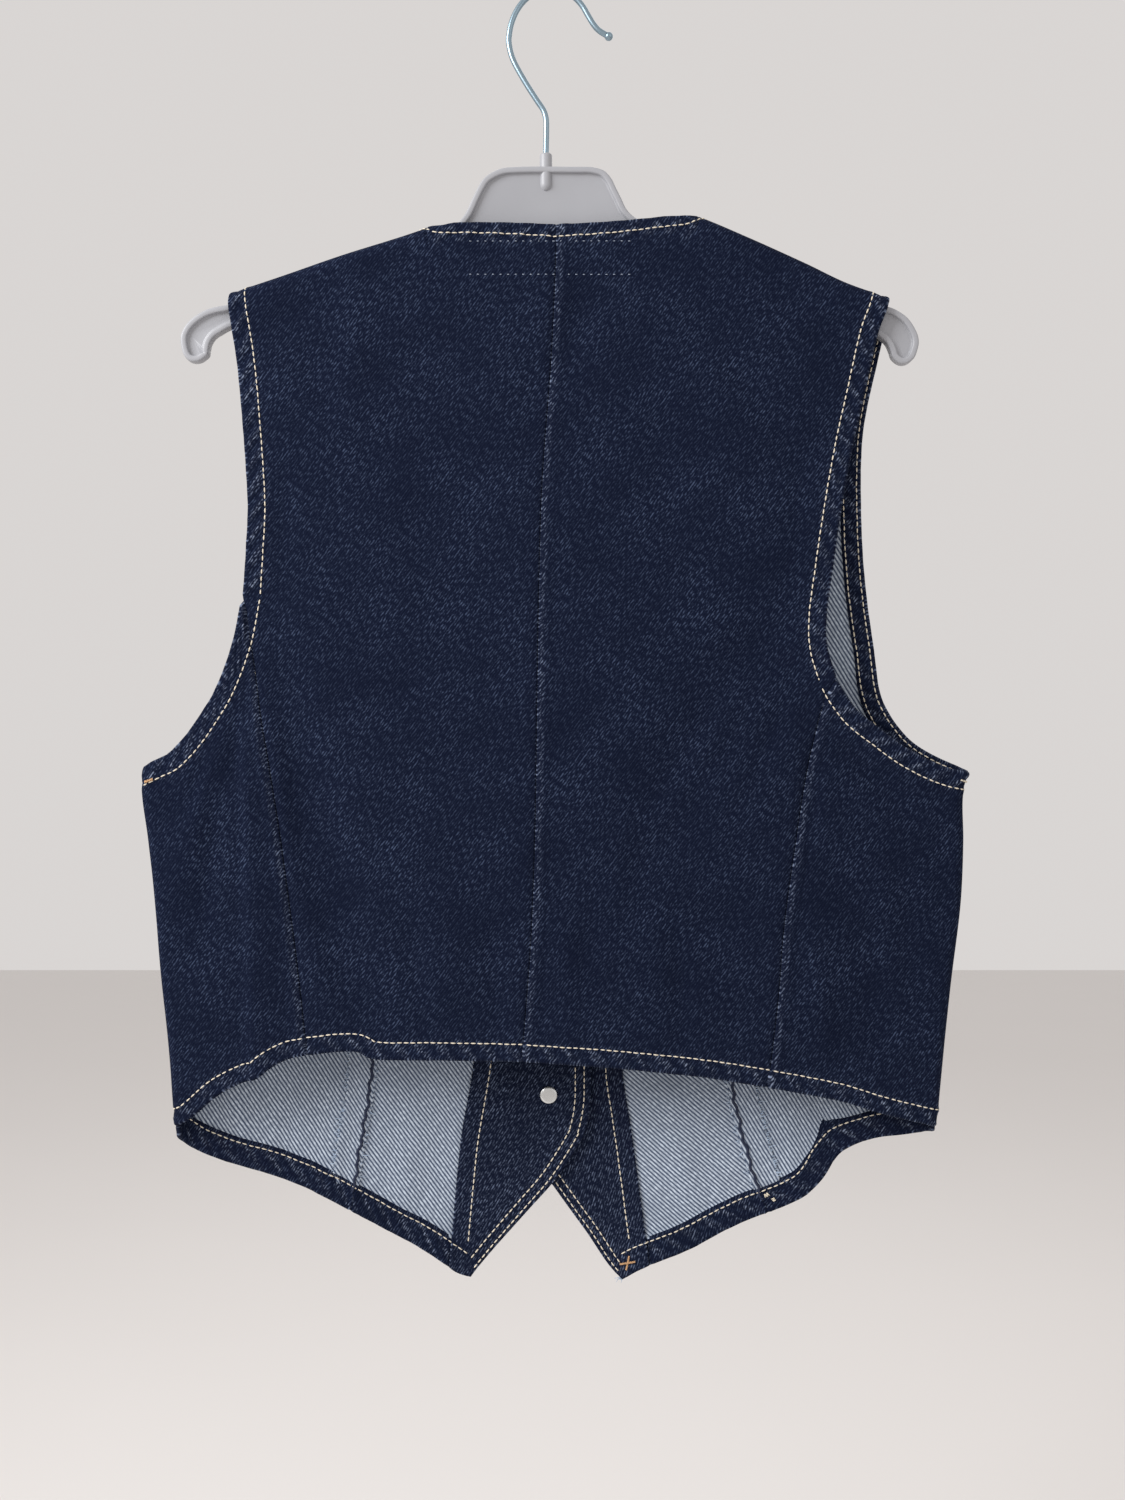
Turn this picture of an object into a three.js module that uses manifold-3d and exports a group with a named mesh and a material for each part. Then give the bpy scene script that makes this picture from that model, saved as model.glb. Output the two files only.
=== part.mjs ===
// A denim waistcoat on a plastic hanger, seen from its back: back centre and side panels,
// fronts seamed at the shoulders, their facings, jeans buttons, the hanger and its wire hook.
// Millimetres, +Z up. The back faces -Y and the fronts face +Y. The origin is the inside of the
// hook's top, where a rod or a peg carries it.

import * as THREE from "three";
import { mergeVertices } from "three/addons/utils/BufferGeometryUtils.js";
import Module from "manifold-3d";

// A short table: named columns, then a row for each section, point or fold.
const table = (columns, ...rows) =>
  rows.map((row) => Object.fromEntries(columns.map((name, i) => [name, row[i]])));

// Cloth
const WALL = 1.3; // one layer of raw denim, with its nap
const GAP = 0.3; // between pieces at a straight seam, and between layers
const SEAM_INSET = 0.25; // each panel's edge stops this far short of a curved seam
const TURN = 9.5; // width of a turned hem
const STEP = 0.6; // run of the step down from a turned hem to a single layer
const SHOULDER_RADIUS = 6.5; // the cloth's bend over a hanger arm
const SIDE_RADIUS = 5; // the soft fold at a side seam
const SHOULDER_SEAM = 3; // the shoulder seam lies this far in front of the fold
const NECK_CORNER = 1.5; // the back neck's edge meets the fold this far in from the neck point
// The outer front stands this far off the under one where they lap, and less towards its seam.
const LAP = { depth: 3.6, edge: 24, fade: 50, top: -150, drop: 100 };
const FOLD_END = 0.35; // share of a soft fold's depth that is left at its two ends
const FOLD_STEPS = 8; // places looked at along a fold's bent line
const NORMAL_STEP = 0.05; // for finite differences
const CURVE_STEPS = 6; // straight bits between two rows of an outline
const LEAST_SLANT = 0.55; // a mesh line runs no more slanting to an edge than this sine
const PLACE_PASSES = 4; // rounds that settle a mesh point between its row and its column

// The top fold over the hanger arms; between the neck points it is only a guide line.
const SHOULDER_FOLD = table(
  ["x", "z"],
  [-200, -158],
  [-155, -145],
  [-135, -138.5],
  [-100, -126.5],
  [-62, -114.5],
  [-25, -100],
  [10, -94],
  [45, -99],
  [73, -108],
  [96, -117.5],
  [125, -130.5],
  [144, -139.5],
  [166, -147],
  [206, -160],
);

// The side folds, down from the armpits; above them the first rows are only guide lines.
const SIDES = table(
  ["z", "left", "right"],
  [-100, -198.5, 206.5],
  [-376, -198.5, 206.5],
  [-385, -199, 203.5],
  [-410, -196, 203.5],
  [-440, -193, 202.5],
  [-475, -190.5, 198.5],
  [-510, -187, 195],
  [-557, -184, 191],
);

// How far the cloth stands out past the shoulder bend's radius, at the middle of each height.
const SWELL = table(
  ["z", "back", "front"],
  [-100, 0, 0],
  [-150, 2, 1.5],
  [-220, 4, 4],
  [-300, 6, 7],
  [-380, 7.5, 10],
  [-460, 8.5, 12],
  [-520, 8.5, 13],
  [-640, 8.5, 13],
);

// Soft folds: a bent line of three points, half width, and depth towards the body.
const BACK_FOLDS = table(
  ["x0", "z0", "x1", "z1", "x2", "z2", "width", "depth"],
  [116, -299, 68, -365, 25, -454, 17, 2.6],
  [-131, -305, -121, -400, -86, -493, 13, 2.6],
  [66, -415, 84, -452, 94, -490, 18, 1.8],
  [-138, -294, -122, -312, -108, -332, 8, -1.3],
  [-163, -366, -172, -402, -183, -442, 9, -1.6],
  [146, -368, 160, -380, 174, -396, 7, 1.8],
  [19, -143, 15, -160, 10, -176, 9, 1.2],
  [-70, -190, -40, -260, -30, -330, 26, 1.1],
  [70, -170, 92, -215, 108, -262, 22, -1.2],
  [150, -430, 158, -470, 160, -515, 12, 1.6],
  [-50, -420, -46, -465, -52, -505, 16, -1.2],
);
const FRONT_FOLDS = table(
  ["x0", "z0", "x1", "z1", "x2", "z2", "width", "depth"],
  [-128, -320, -100, -385, -84, -470, 15, 2.4],
  [131, -325, 106, -392, 92, -462, 16, 2.6],
  [-16, -396, -50, -404, -96, -432, 9, 1.8],
  [26, -470, 60, -484, 112, -498, 10, 1.6],
  [-150, -430, -146, -480, -150, -535, 14, 1.8],
  [152, -440, 146, -486, 152, -530, 13, -1.6],
  [-88, -170, -66, -240, -34, -300, 18, 1.4],
  [92, -166, 74, -236, 40, -300, 17, 1.5],
);
// The pressed tuck left of the back: the cloth on its right steps out over the cloth on its left.
const TUCK = table(
  ["z", "x", "step"],
  [-330, -150.5, 0],
  [-360, -149, 1.2],
  [-400, -147.5, 2],
  [-450, -146.5, 2.4],
  [-510, -146, 3],
  [-560, -144, 3],
);
const TUCK_RUN = 2.2; // half width of its step
const TUCK_FADE = 24; // the raised cloth falls back over this width

// Outlines, each from top to bottom or from the side inwards.
const xz = ["x", "z"];
const ARMHOLE_BACK_LEFT = table(
  xz,
  [-154, -152],
  [-150, -178],
  [-147.5, -205],
  [-145, -245],
  [-146, -270],
  [-147.5, -291],
);
const ARMHOLE_LOW_LEFT = table(
  xz,
  [-198.5, -375.5],
  [-191, -370.5],
  [-184, -367],
  [-175, -357.5],
  [-167, -346],
  [-160, -334],
  [-152, -313],
  [-147.5, -291],
);
const ARMHOLE_BACK_RIGHT = table(
  xz,
  [163.5, -153],
  [158.5, -167],
  [153, -192],
  [147, -219],
  [141.5, -250],
  [137, -281],
  [134.5, -302],
  [135, -316],
  [139.5, -331],
);
const ARMHOLE_LOW_RIGHT = table(
  xz,
  [139.5, -331],
  [144, -339],
  [151, -347.5],
  [162, -356],
  [173, -364],
  [185, -370.5],
  [197, -375],
  [206.5, -377],
);
const ARMHOLE_FRONT_LEFT = table(
  xz,
  [-152.5, -152],
  [-148.5, -178],
  [-145, -212],
  [-143.5, -250],
  [-144.5, -282],
  [-149, -312],
  [-158, -337],
  [-172, -357],
  [-186, -369],
  [-198.5, -375.5],
);
const ARMHOLE_FRONT_RIGHT = table(
  xz,
  [165.5, -156],
  [161, -178],
  [156, -201],
  [154, -222],
  [154.5, -258],
  [157, -288],
  [161, -316],
  [165, -340],
  [176, -358],
  [190, -368.5],
  [206.5, -377],
);
const NECK_BACK = table(
  xz,
  [-52, -112.6],
  [-42, -111.9],
  [-20, -112],
  [4.5, -112.7],
  [30, -111.6],
  [55, -109],
  [66, -108.2],
);
const CENTRE_BACK = table(
  xz,
  [4.5, -112.7],
  [2, -173],
  [-3, -243],
  [-5, -330],
  [-6, -400],
  [-8, -455],
  [-11.5, -503],
  [-12, -516.5],
);
const BACK_SEAM_LEFT = table(
  xz,
  [-147.5, -291],
  [-143, -318],
  [-139, -348],
  [-134.5, -375],
  [-130, -404],
  [-125, -442],
  [-120.5, -479],
  [-117, -514],
);
const BACK_SEAM_RIGHT = table(
  xz,
  [139.5, -331],
  [132.5, -345],
  [126, -372],
  [120, -409],
  [114.5, -449],
  [112, -482],
  [108.5, -514],
  [106.5, -529.5],
);
const HEM_BACK_SIDE_LEFT = table(
  xz,
  [-184, -551.5],
  [-174.5, -547],
  [-160, -534.5],
  [-147, -527.5],
  [-140, -525],
  [-134.5, -520.5],
  [-126, -516],
  [-117, -514],
);
const HEM_BACK_CENTRE_LEFT = table(
  xz,
  [-117, -514],
  [-101.5, -512],
  [-92, -512.3],
  [-83, -515.8],
  [-50, -515.8],
  [-12, -516.5],
);
const HEM_BACK_CENTRE_RIGHT = table(
  xz,
  [-12, -516.5],
  [30, -519.5],
  [73, -524],
  [106.5, -529.5],
);
const HEM_BACK_SIDE_RIGHT = table(
  xz,
  [106.5, -529.5],
  [124, -533],
  [142, -537],
  [162, -543.5],
  [191, -551.5],
);
const FRONT_SEAM_LEFT = table(
  xz,
  [-107, -150],
  [-100, -215],
  [-92, -300],
  [-87, -400],
  [-85.5, -470],
  [-88.5, -524],
  [-90.6, -543],
  [-94.7, -566],
  [-97.8, -587],
  [-99.5, -599],
);
const FRONT_SEAM_RIGHT = table(
  xz,
  [119, -150],
  [111, -215],
  [102, -300],
  [94.5, -400],
  [90.5, -470],
  [91.5, -530],
  [103, -580],
  [111, -599.5],
);
const HEM_FRONT_SIDE_LEFT = table(
  xz,
  [-184, -557.5],
  [-177, -564.5],
  [-163, -571],
  [-140, -579],
  [-120, -587.5],
  [-99.5, -599],
);
const HEM_FRONT_CENTRE_LEFT = table(
  xz,
  [-99.5, -599],
  [-82, -609],
  [-66, -618],
  [-50, -629],
);
const HEM_FRONT_SIDE_RIGHT = table(
  xz,
  [191, -554.5],
  [181, -557],
  [171, -558.5],
  [162, -560],
  [154, -563],
  [147.5, -567],
  [142.7, -572.5],
  [139.5, -578.5],
  [135.5, -584],
  [129.5, -590],
  [121, -595],
  [111, -599.5],
);
const HEM_FRONT_CENTRE_RIGHT = table(
  xz,
  [111, -599.5],
  [102, -603],
  [87, -610.5],
  [70, -620],
  [51, -628.5],
);
const POINT_LEFT = table(
  xz,
  [-50, -629],
  [-46, -631.5],
  [-40, -633.5],
);
const POINT_RIGHT = table(
  xz,
  [51, -628.5],
  [45, -631.5],
  [38, -636],
);
const DIAGONAL_LEFT = table(
  xz,
  [-40, -633.5],
  [-28, -619],
  [-11, -600],
  [2, -585.5],
  [11, -572.5],
  [18, -561],
);
const DIAGONAL_RIGHT = table(
  xz,
  [38, -636],
  [31, -629],
  [19.5, -612],
  [5.5, -592.5],
  [-8, -574],
  [-18, -560],
);
// Each front's neck edge and front edge, from the shoulder down to the start of its diagonal.
const FRONT_EDGE_LEFT = table(
  xz,
  [-57, -123],
  [-40, -170],
  [-12, -250],
  [14, -302],
  [21, -326],
  [21.3, -400],
  [21.3, -520],
  [21, -546],
  [18, -561],
);
const FRONT_EDGE_RIGHT = table(
  xz,
  [69, -117],
  [51, -166],
  [17, -248],
  [-13, -302],
  [-20.5, -326],
  [-21, -400],
  [-21, -520],
  [-20.7, -545],
  [-18, -560],
);
// The inner edge of each facing, which the front panel's mesh follows too.
const FACING_LINE_LEFT = table(
  xz,
  [-84, -131],
  [-72, -190],
  [-52, -260],
  [-37, -325],
  [-34, -400],
  [-34, -480],
  [-37, -523],
  [-44, -566],
  [-50, -629],
);
const FACING_LINE_RIGHT = table(
  xz,
  [98, -131],
  [84, -190],
  [60, -260],
  [40, -325],
  [35, -400],
  [35, -480],
  [37, -528],
  [42, -562],
  [51, -628.5],
);
// Where the seams meet the shoulder fold.
const SHOULDER_MARKS = {
  left: { tip: -154.5, seam: -108, neck: -59 },
  right: { tip: 166, seam: 120, neck: 73.5 },
};

// Jeans buttons up the centre front, and the tacks that hold them from inside.
const BUTTON_X = 0;
const BUTTON_HEIGHTS = [-318.5, -392.5, -466.5, -540.5];
const BUTTON = { radius: 8.5, dome: 2.6, rim: 1.2, shoulder: 7, crown: 3.8, shank: 2.2, sides: 16 };
const TACK = { radius: 4.4, flat: 3.5, thick: 1.1, edge: 0.6, pin: 1.2, sides: 12 };
const BUTTONHOLE = { eyelet: 2.7, slit: 14, slitHigh: 1.4, from: 0.15, past: 2, sides: 10 };

// Hanger: a flat web with a raised rim, a boss for the hook and two curled ends.
const HANGER = {
  web: 2.4,
  rim: 6.2,
  rimWide: 3,
  rimChamfer: 0.5,
  armDrop: 5.4, // the top of an arm lies this far under the cloth's shoulder fold
  pointsPerRow: 1.6,
};
const BOSS = { x: -1, radius: 3, top: -77.5, foot: -96, toe: 2.1, edge: 0.8, bore: 14, sides: 14 };
// Its outline, clockwise: neck plate, right arm's top, right end, underside, left end, left top.
const HANGER_NECK = table(
  xz,
  [-50, -117],
  [-40.7, -107.8],
  [-35.9, -98.2],
  [-33.4, -93.4],
  [-31, -89.9],
  [-26.9, -87],
  [-22, -85.1],
  [-13.6, -84.4],
  [12.6, -84.4],
  [21.5, -84.6],
  [27.1, -86.3],
  [30.5, -89.9],
  [32.9, -94.6],
  [35.3, -99.4],
  [38.5, -105.4],
  [46, -110.8],
);
const HANGER_END_RIGHT = table(
  xz,
  [166, -151.8],
  [169.9, -153.7],
  [173.8, -156.6],
  [176.7, -160.4],
  [178.9, -164.8],
  [179.5, -168.6],
  [178.7, -172.5],
  [177.3, -175.9],
  [174.4, -178.3],
  [171.5, -178.8],
  [169, -177.8],
  [166.6, -175.4],
  [165.6, -172.5],
  [163.6, -168.6],
  [157, -163.8],
);
const HANGER_UNDER = table(
  xz,
  [140, -157],
  [115, -147],
  [85, -138],
  [45, -131],
  [-45, -134],
  [-80, -140],
  [-110, -148],
  [-135, -155],
);
const HANGER_END_LEFT = table(
  xz,
  [-154.9, -161.9],
  [-158.3, -163.8],
  [-161.3, -165.7],
  [-163.4, -168.6],
  [-164.2, -171.5],
  [-164.7, -174.4],
  [-166.7, -176.3],
  [-169.1, -177.6],
  [-172, -177.8],
  [-174.5, -176.8],
  [-176.4, -174.4],
  [-177.8, -168.6],
  [-177.6, -164.8],
  [-175.8, -160.9],
  [-172.9, -157.6],
  [-169, -154.7],
  [-165.1, -152.7],
  [-160.2, -151.3],
);
const ARM_PLACES_RIGHT = [73, 96, 125, 144, 158];
const ARM_PLACES_LEFT = [-155, -135, -115, -90, -66];
const WIRE = 2.8;
// The hook's bend is a half oval of the wire's centre line; its top's inner side is the origin.
const HOOK = { centreX: 1.5, centreZ: -24, across: 20.4, from: 180, to: 32, arcSteps: 18 };
const HOOK_MESH = { sides: 8, steps: 44, tip: 2.05, tipSides: 10, tipRings: 7 };
const HOOK_STEM = table(
  xz,
  [-1, -90],
  [-1, -78],
  [-0.8, -66],
  [-0.9, -61],
  [-2, -57],
  [-5.3, -52],
  [-12, -41.5],
  [-17.2, -31.6],
);
const HOOK_FLARE = table(xz, [21.9, -15.6], [24.6, -18.6], [29.3, -21.4]);

// Finishes
const DENIM = { color: 0x232c48, roughness: 0.92, metalness: 0 };
const FACING_DENIM = { color: 0x1f2740, roughness: 0.92, metalness: 0 };
const PLASTIC = { color: 0xb5b6bb, roughness: 0.45, metalness: 0 };
const ZINC = { color: 0x9fb0bb, roughness: 0.35, metalness: 1 };
const TIN = { color: 0xd9dad8, roughness: 0.35, metalness: 1 };

const wasm = await Module();
wasm.setup();

const group = new THREE.Group();
group.name = "denim_vest_on_hanger";

function addMesh(name, geometry, finish) {
  const mesh = new THREE.Mesh(geometry, new THREE.MeshStandardMaterial(finish));
  mesh.name = name;
  group.add(mesh);
  return mesh;
}

// Smooth value of one column of a table at a place in another, held level past its ends.
function along(rows, key, column, at) {
  const rising = rows[rows.length - 1][key] > rows[0][key] ? 1 : -1;
  const first = rows[0];
  const last = rows[rows.length - 1];
  if ((at - first[key]) * rising <= 0) return first[column];
  if ((at - last[key]) * rising >= 0) return last[column];
  let i = 0;
  while ((rows[i + 1][key] - at) * rising < 0) i += 1;
  const slope = (a, b) => (b[column] - a[column]) / (b[key] - a[key]);
  const here = rows[i];
  const next = rows[i + 1];
  const span = next[key] - here[key];
  const straight = slope(here, next);
  const startSlope = i > 0 ? (slope(rows[i - 1], here) + straight) / 2 : straight;
  const endSlope = i + 2 < rows.length ? (slope(next, rows[i + 2]) + straight) / 2 : straight;
  const t = (at - here[key]) / span;
  return (
    here[column] * (2 * t ** 3 - 3 * t ** 2 + 1) +
    startSlope * span * (t ** 3 - 2 * t ** 2 + t) +
    next[column] * (3 * t ** 2 - 2 * t ** 3) +
    endSlope * span * (t ** 3 - t ** 2)
  );
}
const shoulderFold = (x) => along(SHOULDER_FOLD, "x", "z", x);
const sideAt = (side, z) => along(SIDES, "z", side, z);
const smoothStep = (t) => {
  const c = Math.min(1, Math.max(0, t));
  return c * c * (3 - 2 * c);
};

// A bend of cloth: how far in from the fold's outside, and what share of full depth.
function bend(distance, radius) {
  if (distance >= (radius * Math.PI) / 2)
    return { inset: distance - radius * (Math.PI / 2 - 1), depth: 1 };
  return {
    inset: radius * (1 - Math.cos(distance / radius)),
    depth: Math.sin(distance / radius),
  };
}
function unbend(inset, radius) {
  if (inset >= radius) return inset + radius * (Math.PI / 2 - 1);
  return radius * Math.acos(1 - Math.max(0, inset) / radius);
}
const SHOULDER_ROLL = SHOULDER_RADIUS * (Math.PI / 2 - 1);
const SIDE_ROLL = SIDE_RADIUS * (Math.PI / 2 - 1);

// Depth that the soft folds take away at one place.
function foldDepth(folds, x, z) {
  let sum = 0;
  for (const f of folds) {
    let nearest = Infinity;
    let place = 0;
    for (let k = 0; k <= FOLD_STEPS; k += 1) {
      const t = k / FOLD_STEPS;
      const a = (1 - t) ** 2;
      const b = 2 * t * (1 - t);
      const c = t * t;
      const far = Math.hypot(x - (a * f.x0 + b * f.x1 + c * f.x2), z - (a * f.z0 + b * f.z1 + c * f.z2));
      if (far < nearest) {
        nearest = far;
        place = t;
      }
    }
    const taper = FOLD_END + (1 - FOLD_END) * Math.sin(Math.PI * place);
    sum += f.depth * taper * Math.exp(-((nearest / f.width) ** 2));
  }
  return sum;
}
function tuckStep(x, z) {
  const line = along(TUCK, "z", "x", z);
  const raised = smoothStep((x - line + TUCK_RUN) / (2 * TUCK_RUN));
  const fallen = smoothStep((x - line) / TUCK_FADE);
  return along(TUCK, "z", "step", z) * (raised - fallen);
}
// The lap of the fronts: the wearer's right front lies outside the left one.
function lapShift(x, z) {
  const across = 1 - smoothStep((x - LAP.edge) / LAP.fade);
  const down = smoothStep((LAP.top - z) / LAP.drop);
  return LAP.depth * across * down;
}
function fullDepth(face, x, z) {
  const left = sideAt("left", z);
  const right = sideAt("right", z);
  const middle = (left + right) / 2;
  const arch = Math.max(0, 1 - ((x - middle) / ((right - left) / 2)) ** 2);
  const back = face === "back";
  let depth = SHOULDER_RADIUS + along(SWELL, "z", back ? "back" : "front", z) * arch;
  depth -= foldDepth(back ? BACK_FOLDS : FRONT_FOLDS, x, z);
  if (back) depth += tuckStep(x, z);
  if (face === "frontRight") depth += lapShift(x, z);
  return depth;
}

// A point of the cloth's outer face from its place (u, w) on the unrolled panel.
function clothPoint(face, u, w) {
  const crest = shoulderFold(u);
  const top = bend(crest + SHOULDER_ROLL - w, SHOULDER_RADIUS);
  const z = crest - top.inset;
  const leftSide = sideAt("left", z);
  const rightSide = sideAt("right", z);
  const left = bend(u - leftSide + SIDE_ROLL, SIDE_RADIUS);
  const right = bend(rightSide + SIDE_ROLL - u, SIDE_RADIUS);
  let x = u;
  if (left.depth < 1) x = leftSide + left.inset;
  if (right.depth < 1) x = rightSide - right.inset;
  const depth = top.depth * left.depth * right.depth * fullDepth(face, x, z);
  return new THREE.Vector3(x, face === "back" ? -depth : depth, z);
}
function clothNormal(face, u, w) {
  const h = NORMAL_STEP;
  const across = clothPoint(face, u + h, w).sub(clothPoint(face, u - h, w));
  const up = clothPoint(face, u, w + h).sub(clothPoint(face, u, w - h));
  const normal = across.cross(up).normalize();
  return face === "back" ? normal : normal.negate();
}
// From an outline's place as seen (x, z) to its place on the unrolled panel.
function unrolled(x, z) {
  const crest = shoulderFold(x);
  const w = crest + SHOULDER_ROLL - unbend(crest - z, SHOULDER_RADIUS);
  const leftSide = sideAt("left", z);
  const rightSide = sideAt("right", z);
  let u = x;
  if (x - leftSide < SIDE_RADIUS) u = leftSide - SIDE_ROLL + unbend(x - leftSide, SIDE_RADIUS);
  if (rightSide - x < SIDE_RADIUS) u = rightSide + SIDE_ROLL - unbend(rightSide - x, SIDE_RADIUS);
  return new THREE.Vector2(u, w);
}
// A place on the shoulder fold, or a little before or behind it, on the unrolled panel.
const onShoulder = (x, below) => new THREE.Vector2(x, shoulderFold(x) + SHOULDER_ROLL - below);

// An outline of one or more pieces; corners only where two pieces meet.
class Outline {
  constructor(...pieces) {
    this.points = [];
    this.names = [];
    for (const { name, points } of pieces) {
      const curve = points.length > 2 ? new THREE.SplineCurve(points) : null;
      const count = curve ? (points.length - 1) * CURVE_STEPS : 1;
      for (let i = this.points.length ? 1 : 0; i <= count; i += 1) {
        this.points.push(curve ? curve.getPoint(i / count) : points[i]);
        this.names.push(name);
      }
    }
    this.lengths = [0];
    for (let i = 1; i < this.points.length; i += 1)
      this.lengths.push(this.lengths[i - 1] + this.points[i].distanceTo(this.points[i - 1]));
    this.length = this.lengths[this.lengths.length - 1];
  }
  segment(t) {
    const target = Math.min(1, Math.max(0, t)) * this.length;
    let i = 1;
    while (i < this.lengths.length - 1 && this.lengths[i] < target) i += 1;
    const run = this.lengths[i] - this.lengths[i - 1];
    return { i, share: (target - this.lengths[i - 1]) / run };
  }
  at(t) {
    const { i, share } = this.segment(t);
    return this.points[i - 1].clone().lerp(this.points[i], share);
  }
  pieceAt(t) {
    return this.names[this.segment(t).i];
  }
  direction(t) {
    const { i } = this.segment(t);
    return this.points[i].clone().sub(this.points[i - 1]).normalize();
  }
  // Where a named piece of the outline ends, as a share of its length.
  endOf(name) {
    return this.lengths[this.names.lastIndexOf(name)] / this.length;
  }
}
const piece = (name, points) => ({ name, points });
const seen = (name, rows) => piece(name, rows.map(({ x, z }) => unrolled(x, z)));
const reversed = (rows) => [...rows].reverse();

// The side seam on the unrolled panel, from the armpit down to the hem.
function sideOutline(side, top, foot) {
  const away = side === "left" ? -SIDE_ROLL : SIDE_ROLL;
  const heights = [0, 0.05, 0.12, 0.25, 0.4, 0.6, 0.8, 1].map((t) => top + (foot - top) * t);
  return piece("side", heights.map((z) => new THREE.Vector2(sideAt(side, z) + away, z)));
}

// A panel's mesh lines: fixed distances in from its edges, and even steps between.
function meshLines(fromStart, inner, fromEnd) {
  const lines = fromStart.map((d) => ({ start: d }));
  for (let i = 1; i < inner; i += 1) lines.push({ share: i / inner });
  return [...lines, ...[...fromEnd].reverse().map((d) => ({ end: d }))];
}
function linePlace(line, length, startRun, endRun, starts, ends) {
  if ("start" in line) return (line.start * startRun) / length;
  if ("end" in line) return 1 - (line.end * endRun) / length;
  if ("guide" in line) return line.guide;
  const low = (starts * startRun) / length;
  const high = 1 - (ends * endRun) / length;
  const from = line.from === undefined ? low : line.from;
  const to = line.to === undefined ? high : line.to;
  return from + (to - from) * line.share;
}

class Panel {
  constructor({ face, top, bottom, left, right, columns, rows, guide, doubled }) {
    Object.assign(this, { face, top, bottom, left, right, guide, doubled });
    this.columns = columns;
    this.rows = rows;
    this.build();
  }
  // The unrolled place at (s, v), blended from the four outlines and the guide line.
  flat(s, v) {
    const plain = this.blend(s, v);
    if (!this.guide) return plain;
    const { line, share } = this.guide;
    const pull = s < share ? s / share : (1 - s) / (1 - share);
    return plain.add(line.at(v).sub(this.blend(share, v)).multiplyScalar(pull));
  }
  blend(s, v) {
    const across = this.top.at(s).multiplyScalar(1 - v).add(this.bottom.at(s).multiplyScalar(v));
    const down = this.left.at(v).multiplyScalar(1 - s).add(this.right.at(v).multiplyScalar(s));
    const corners = this.top.at(0).multiplyScalar((1 - s) * (1 - v));
    corners.add(this.top.at(1).multiplyScalar(s * (1 - v)));
    corners.add(this.bottom.at(0).multiplyScalar((1 - s) * v));
    corners.add(this.bottom.at(1).multiplyScalar(s * v));
    return across.add(down).sub(corners);
  }
  // Longer steps where a mesh line runs slanting to the edge, so a turned hem keeps its width.
  slant(edge, t, from, to) {
    const run = to.clone().sub(from).normalize();
    return 1 / Math.max(LEAST_SLANT, Math.abs(edge.direction(t).cross(run)));
  }
  place(i, j) {
    const column = this.columns[i];
    const row = this.rows[j];
    const deepest = (lines, key) => Math.max(0, ...lines.map((l) => l[key] ?? 0));
    let s = (i + 0.5) / this.columns.length;
    let v = (j + 0.5) / this.rows.length;
    for (let pass = 0; pass < PLACE_PASSES; pass += 1) {
      const from = this.flat(0, v);
      const to = this.flat(1, v);
      s = linePlace(
        column,
        from.distanceTo(to),
        this.slant(this.left, v, from, to),
        this.slant(this.right, v, from, to),
        deepest(this.columns, "start"),
        deepest(this.columns, "end"),
      );
      const high = this.flat(s, 0);
      const low = this.flat(s, 1);
      v = linePlace(
        row,
        high.distanceTo(low),
        this.slant(this.top, s, high, low),
        this.slant(this.bottom, s, high, low),
        deepest(this.rows, "start"),
        deepest(this.rows, "end"),
      );
    }
    return { s, v };
  }
  layers(i, j, s, v) {
    const near = (line, key) => key in line && line[key] <= TURN;
    const at = { column: this.columns[i], row: this.rows[j] };
    const edges = {
      top: near(at.row, "start") && this.doubled.includes(this.top.pieceAt(s)),
      bottom: near(at.row, "end") && this.doubled.includes(this.bottom.pieceAt(s)),
      left: near(at.column, "start") && this.doubled.includes(this.left.pieceAt(v)),
      right: near(at.column, "end") && this.doubled.includes(this.right.pieceAt(v)),
    };
    return Object.values(edges).some(Boolean) ? 2 : 1;
  }
  build() {
    this.grid = this.columns.map((_, i) =>
      this.rows.map((__, j) => {
        const { s, v } = this.place(i, j);
        const flat = this.flat(s, v);
        return {
          outer: clothPoint(this.face, flat.x, flat.y),
          normal: clothNormal(this.face, flat.x, flat.y),
          thick: WALL * this.layers(i, j, s, v),
        };
      }),
    );
  }
  wall() {
    const inner = ({ outer, normal, thick }) => outer.clone().addScaledVector(normal, -thick);
    return wallGeometry(
      this.grid.map((column) => column.map(({ outer }) => outer)),
      this.grid.map((column) => column.map(inner)),
    );
  }
  // A piece that lies inside the panel, over the columns from one to another.
  lining(first, last) {
    const layer = (away) =>
      this.grid.slice(first, last + 1).map((column) =>
        column.map(({ outer, normal, thick }) =>
          outer.clone().addScaledVector(normal, -thick - GAP - away),
        ),
      );
    return wallGeometry(layer(0), layer(WALL));
  }
}

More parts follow.
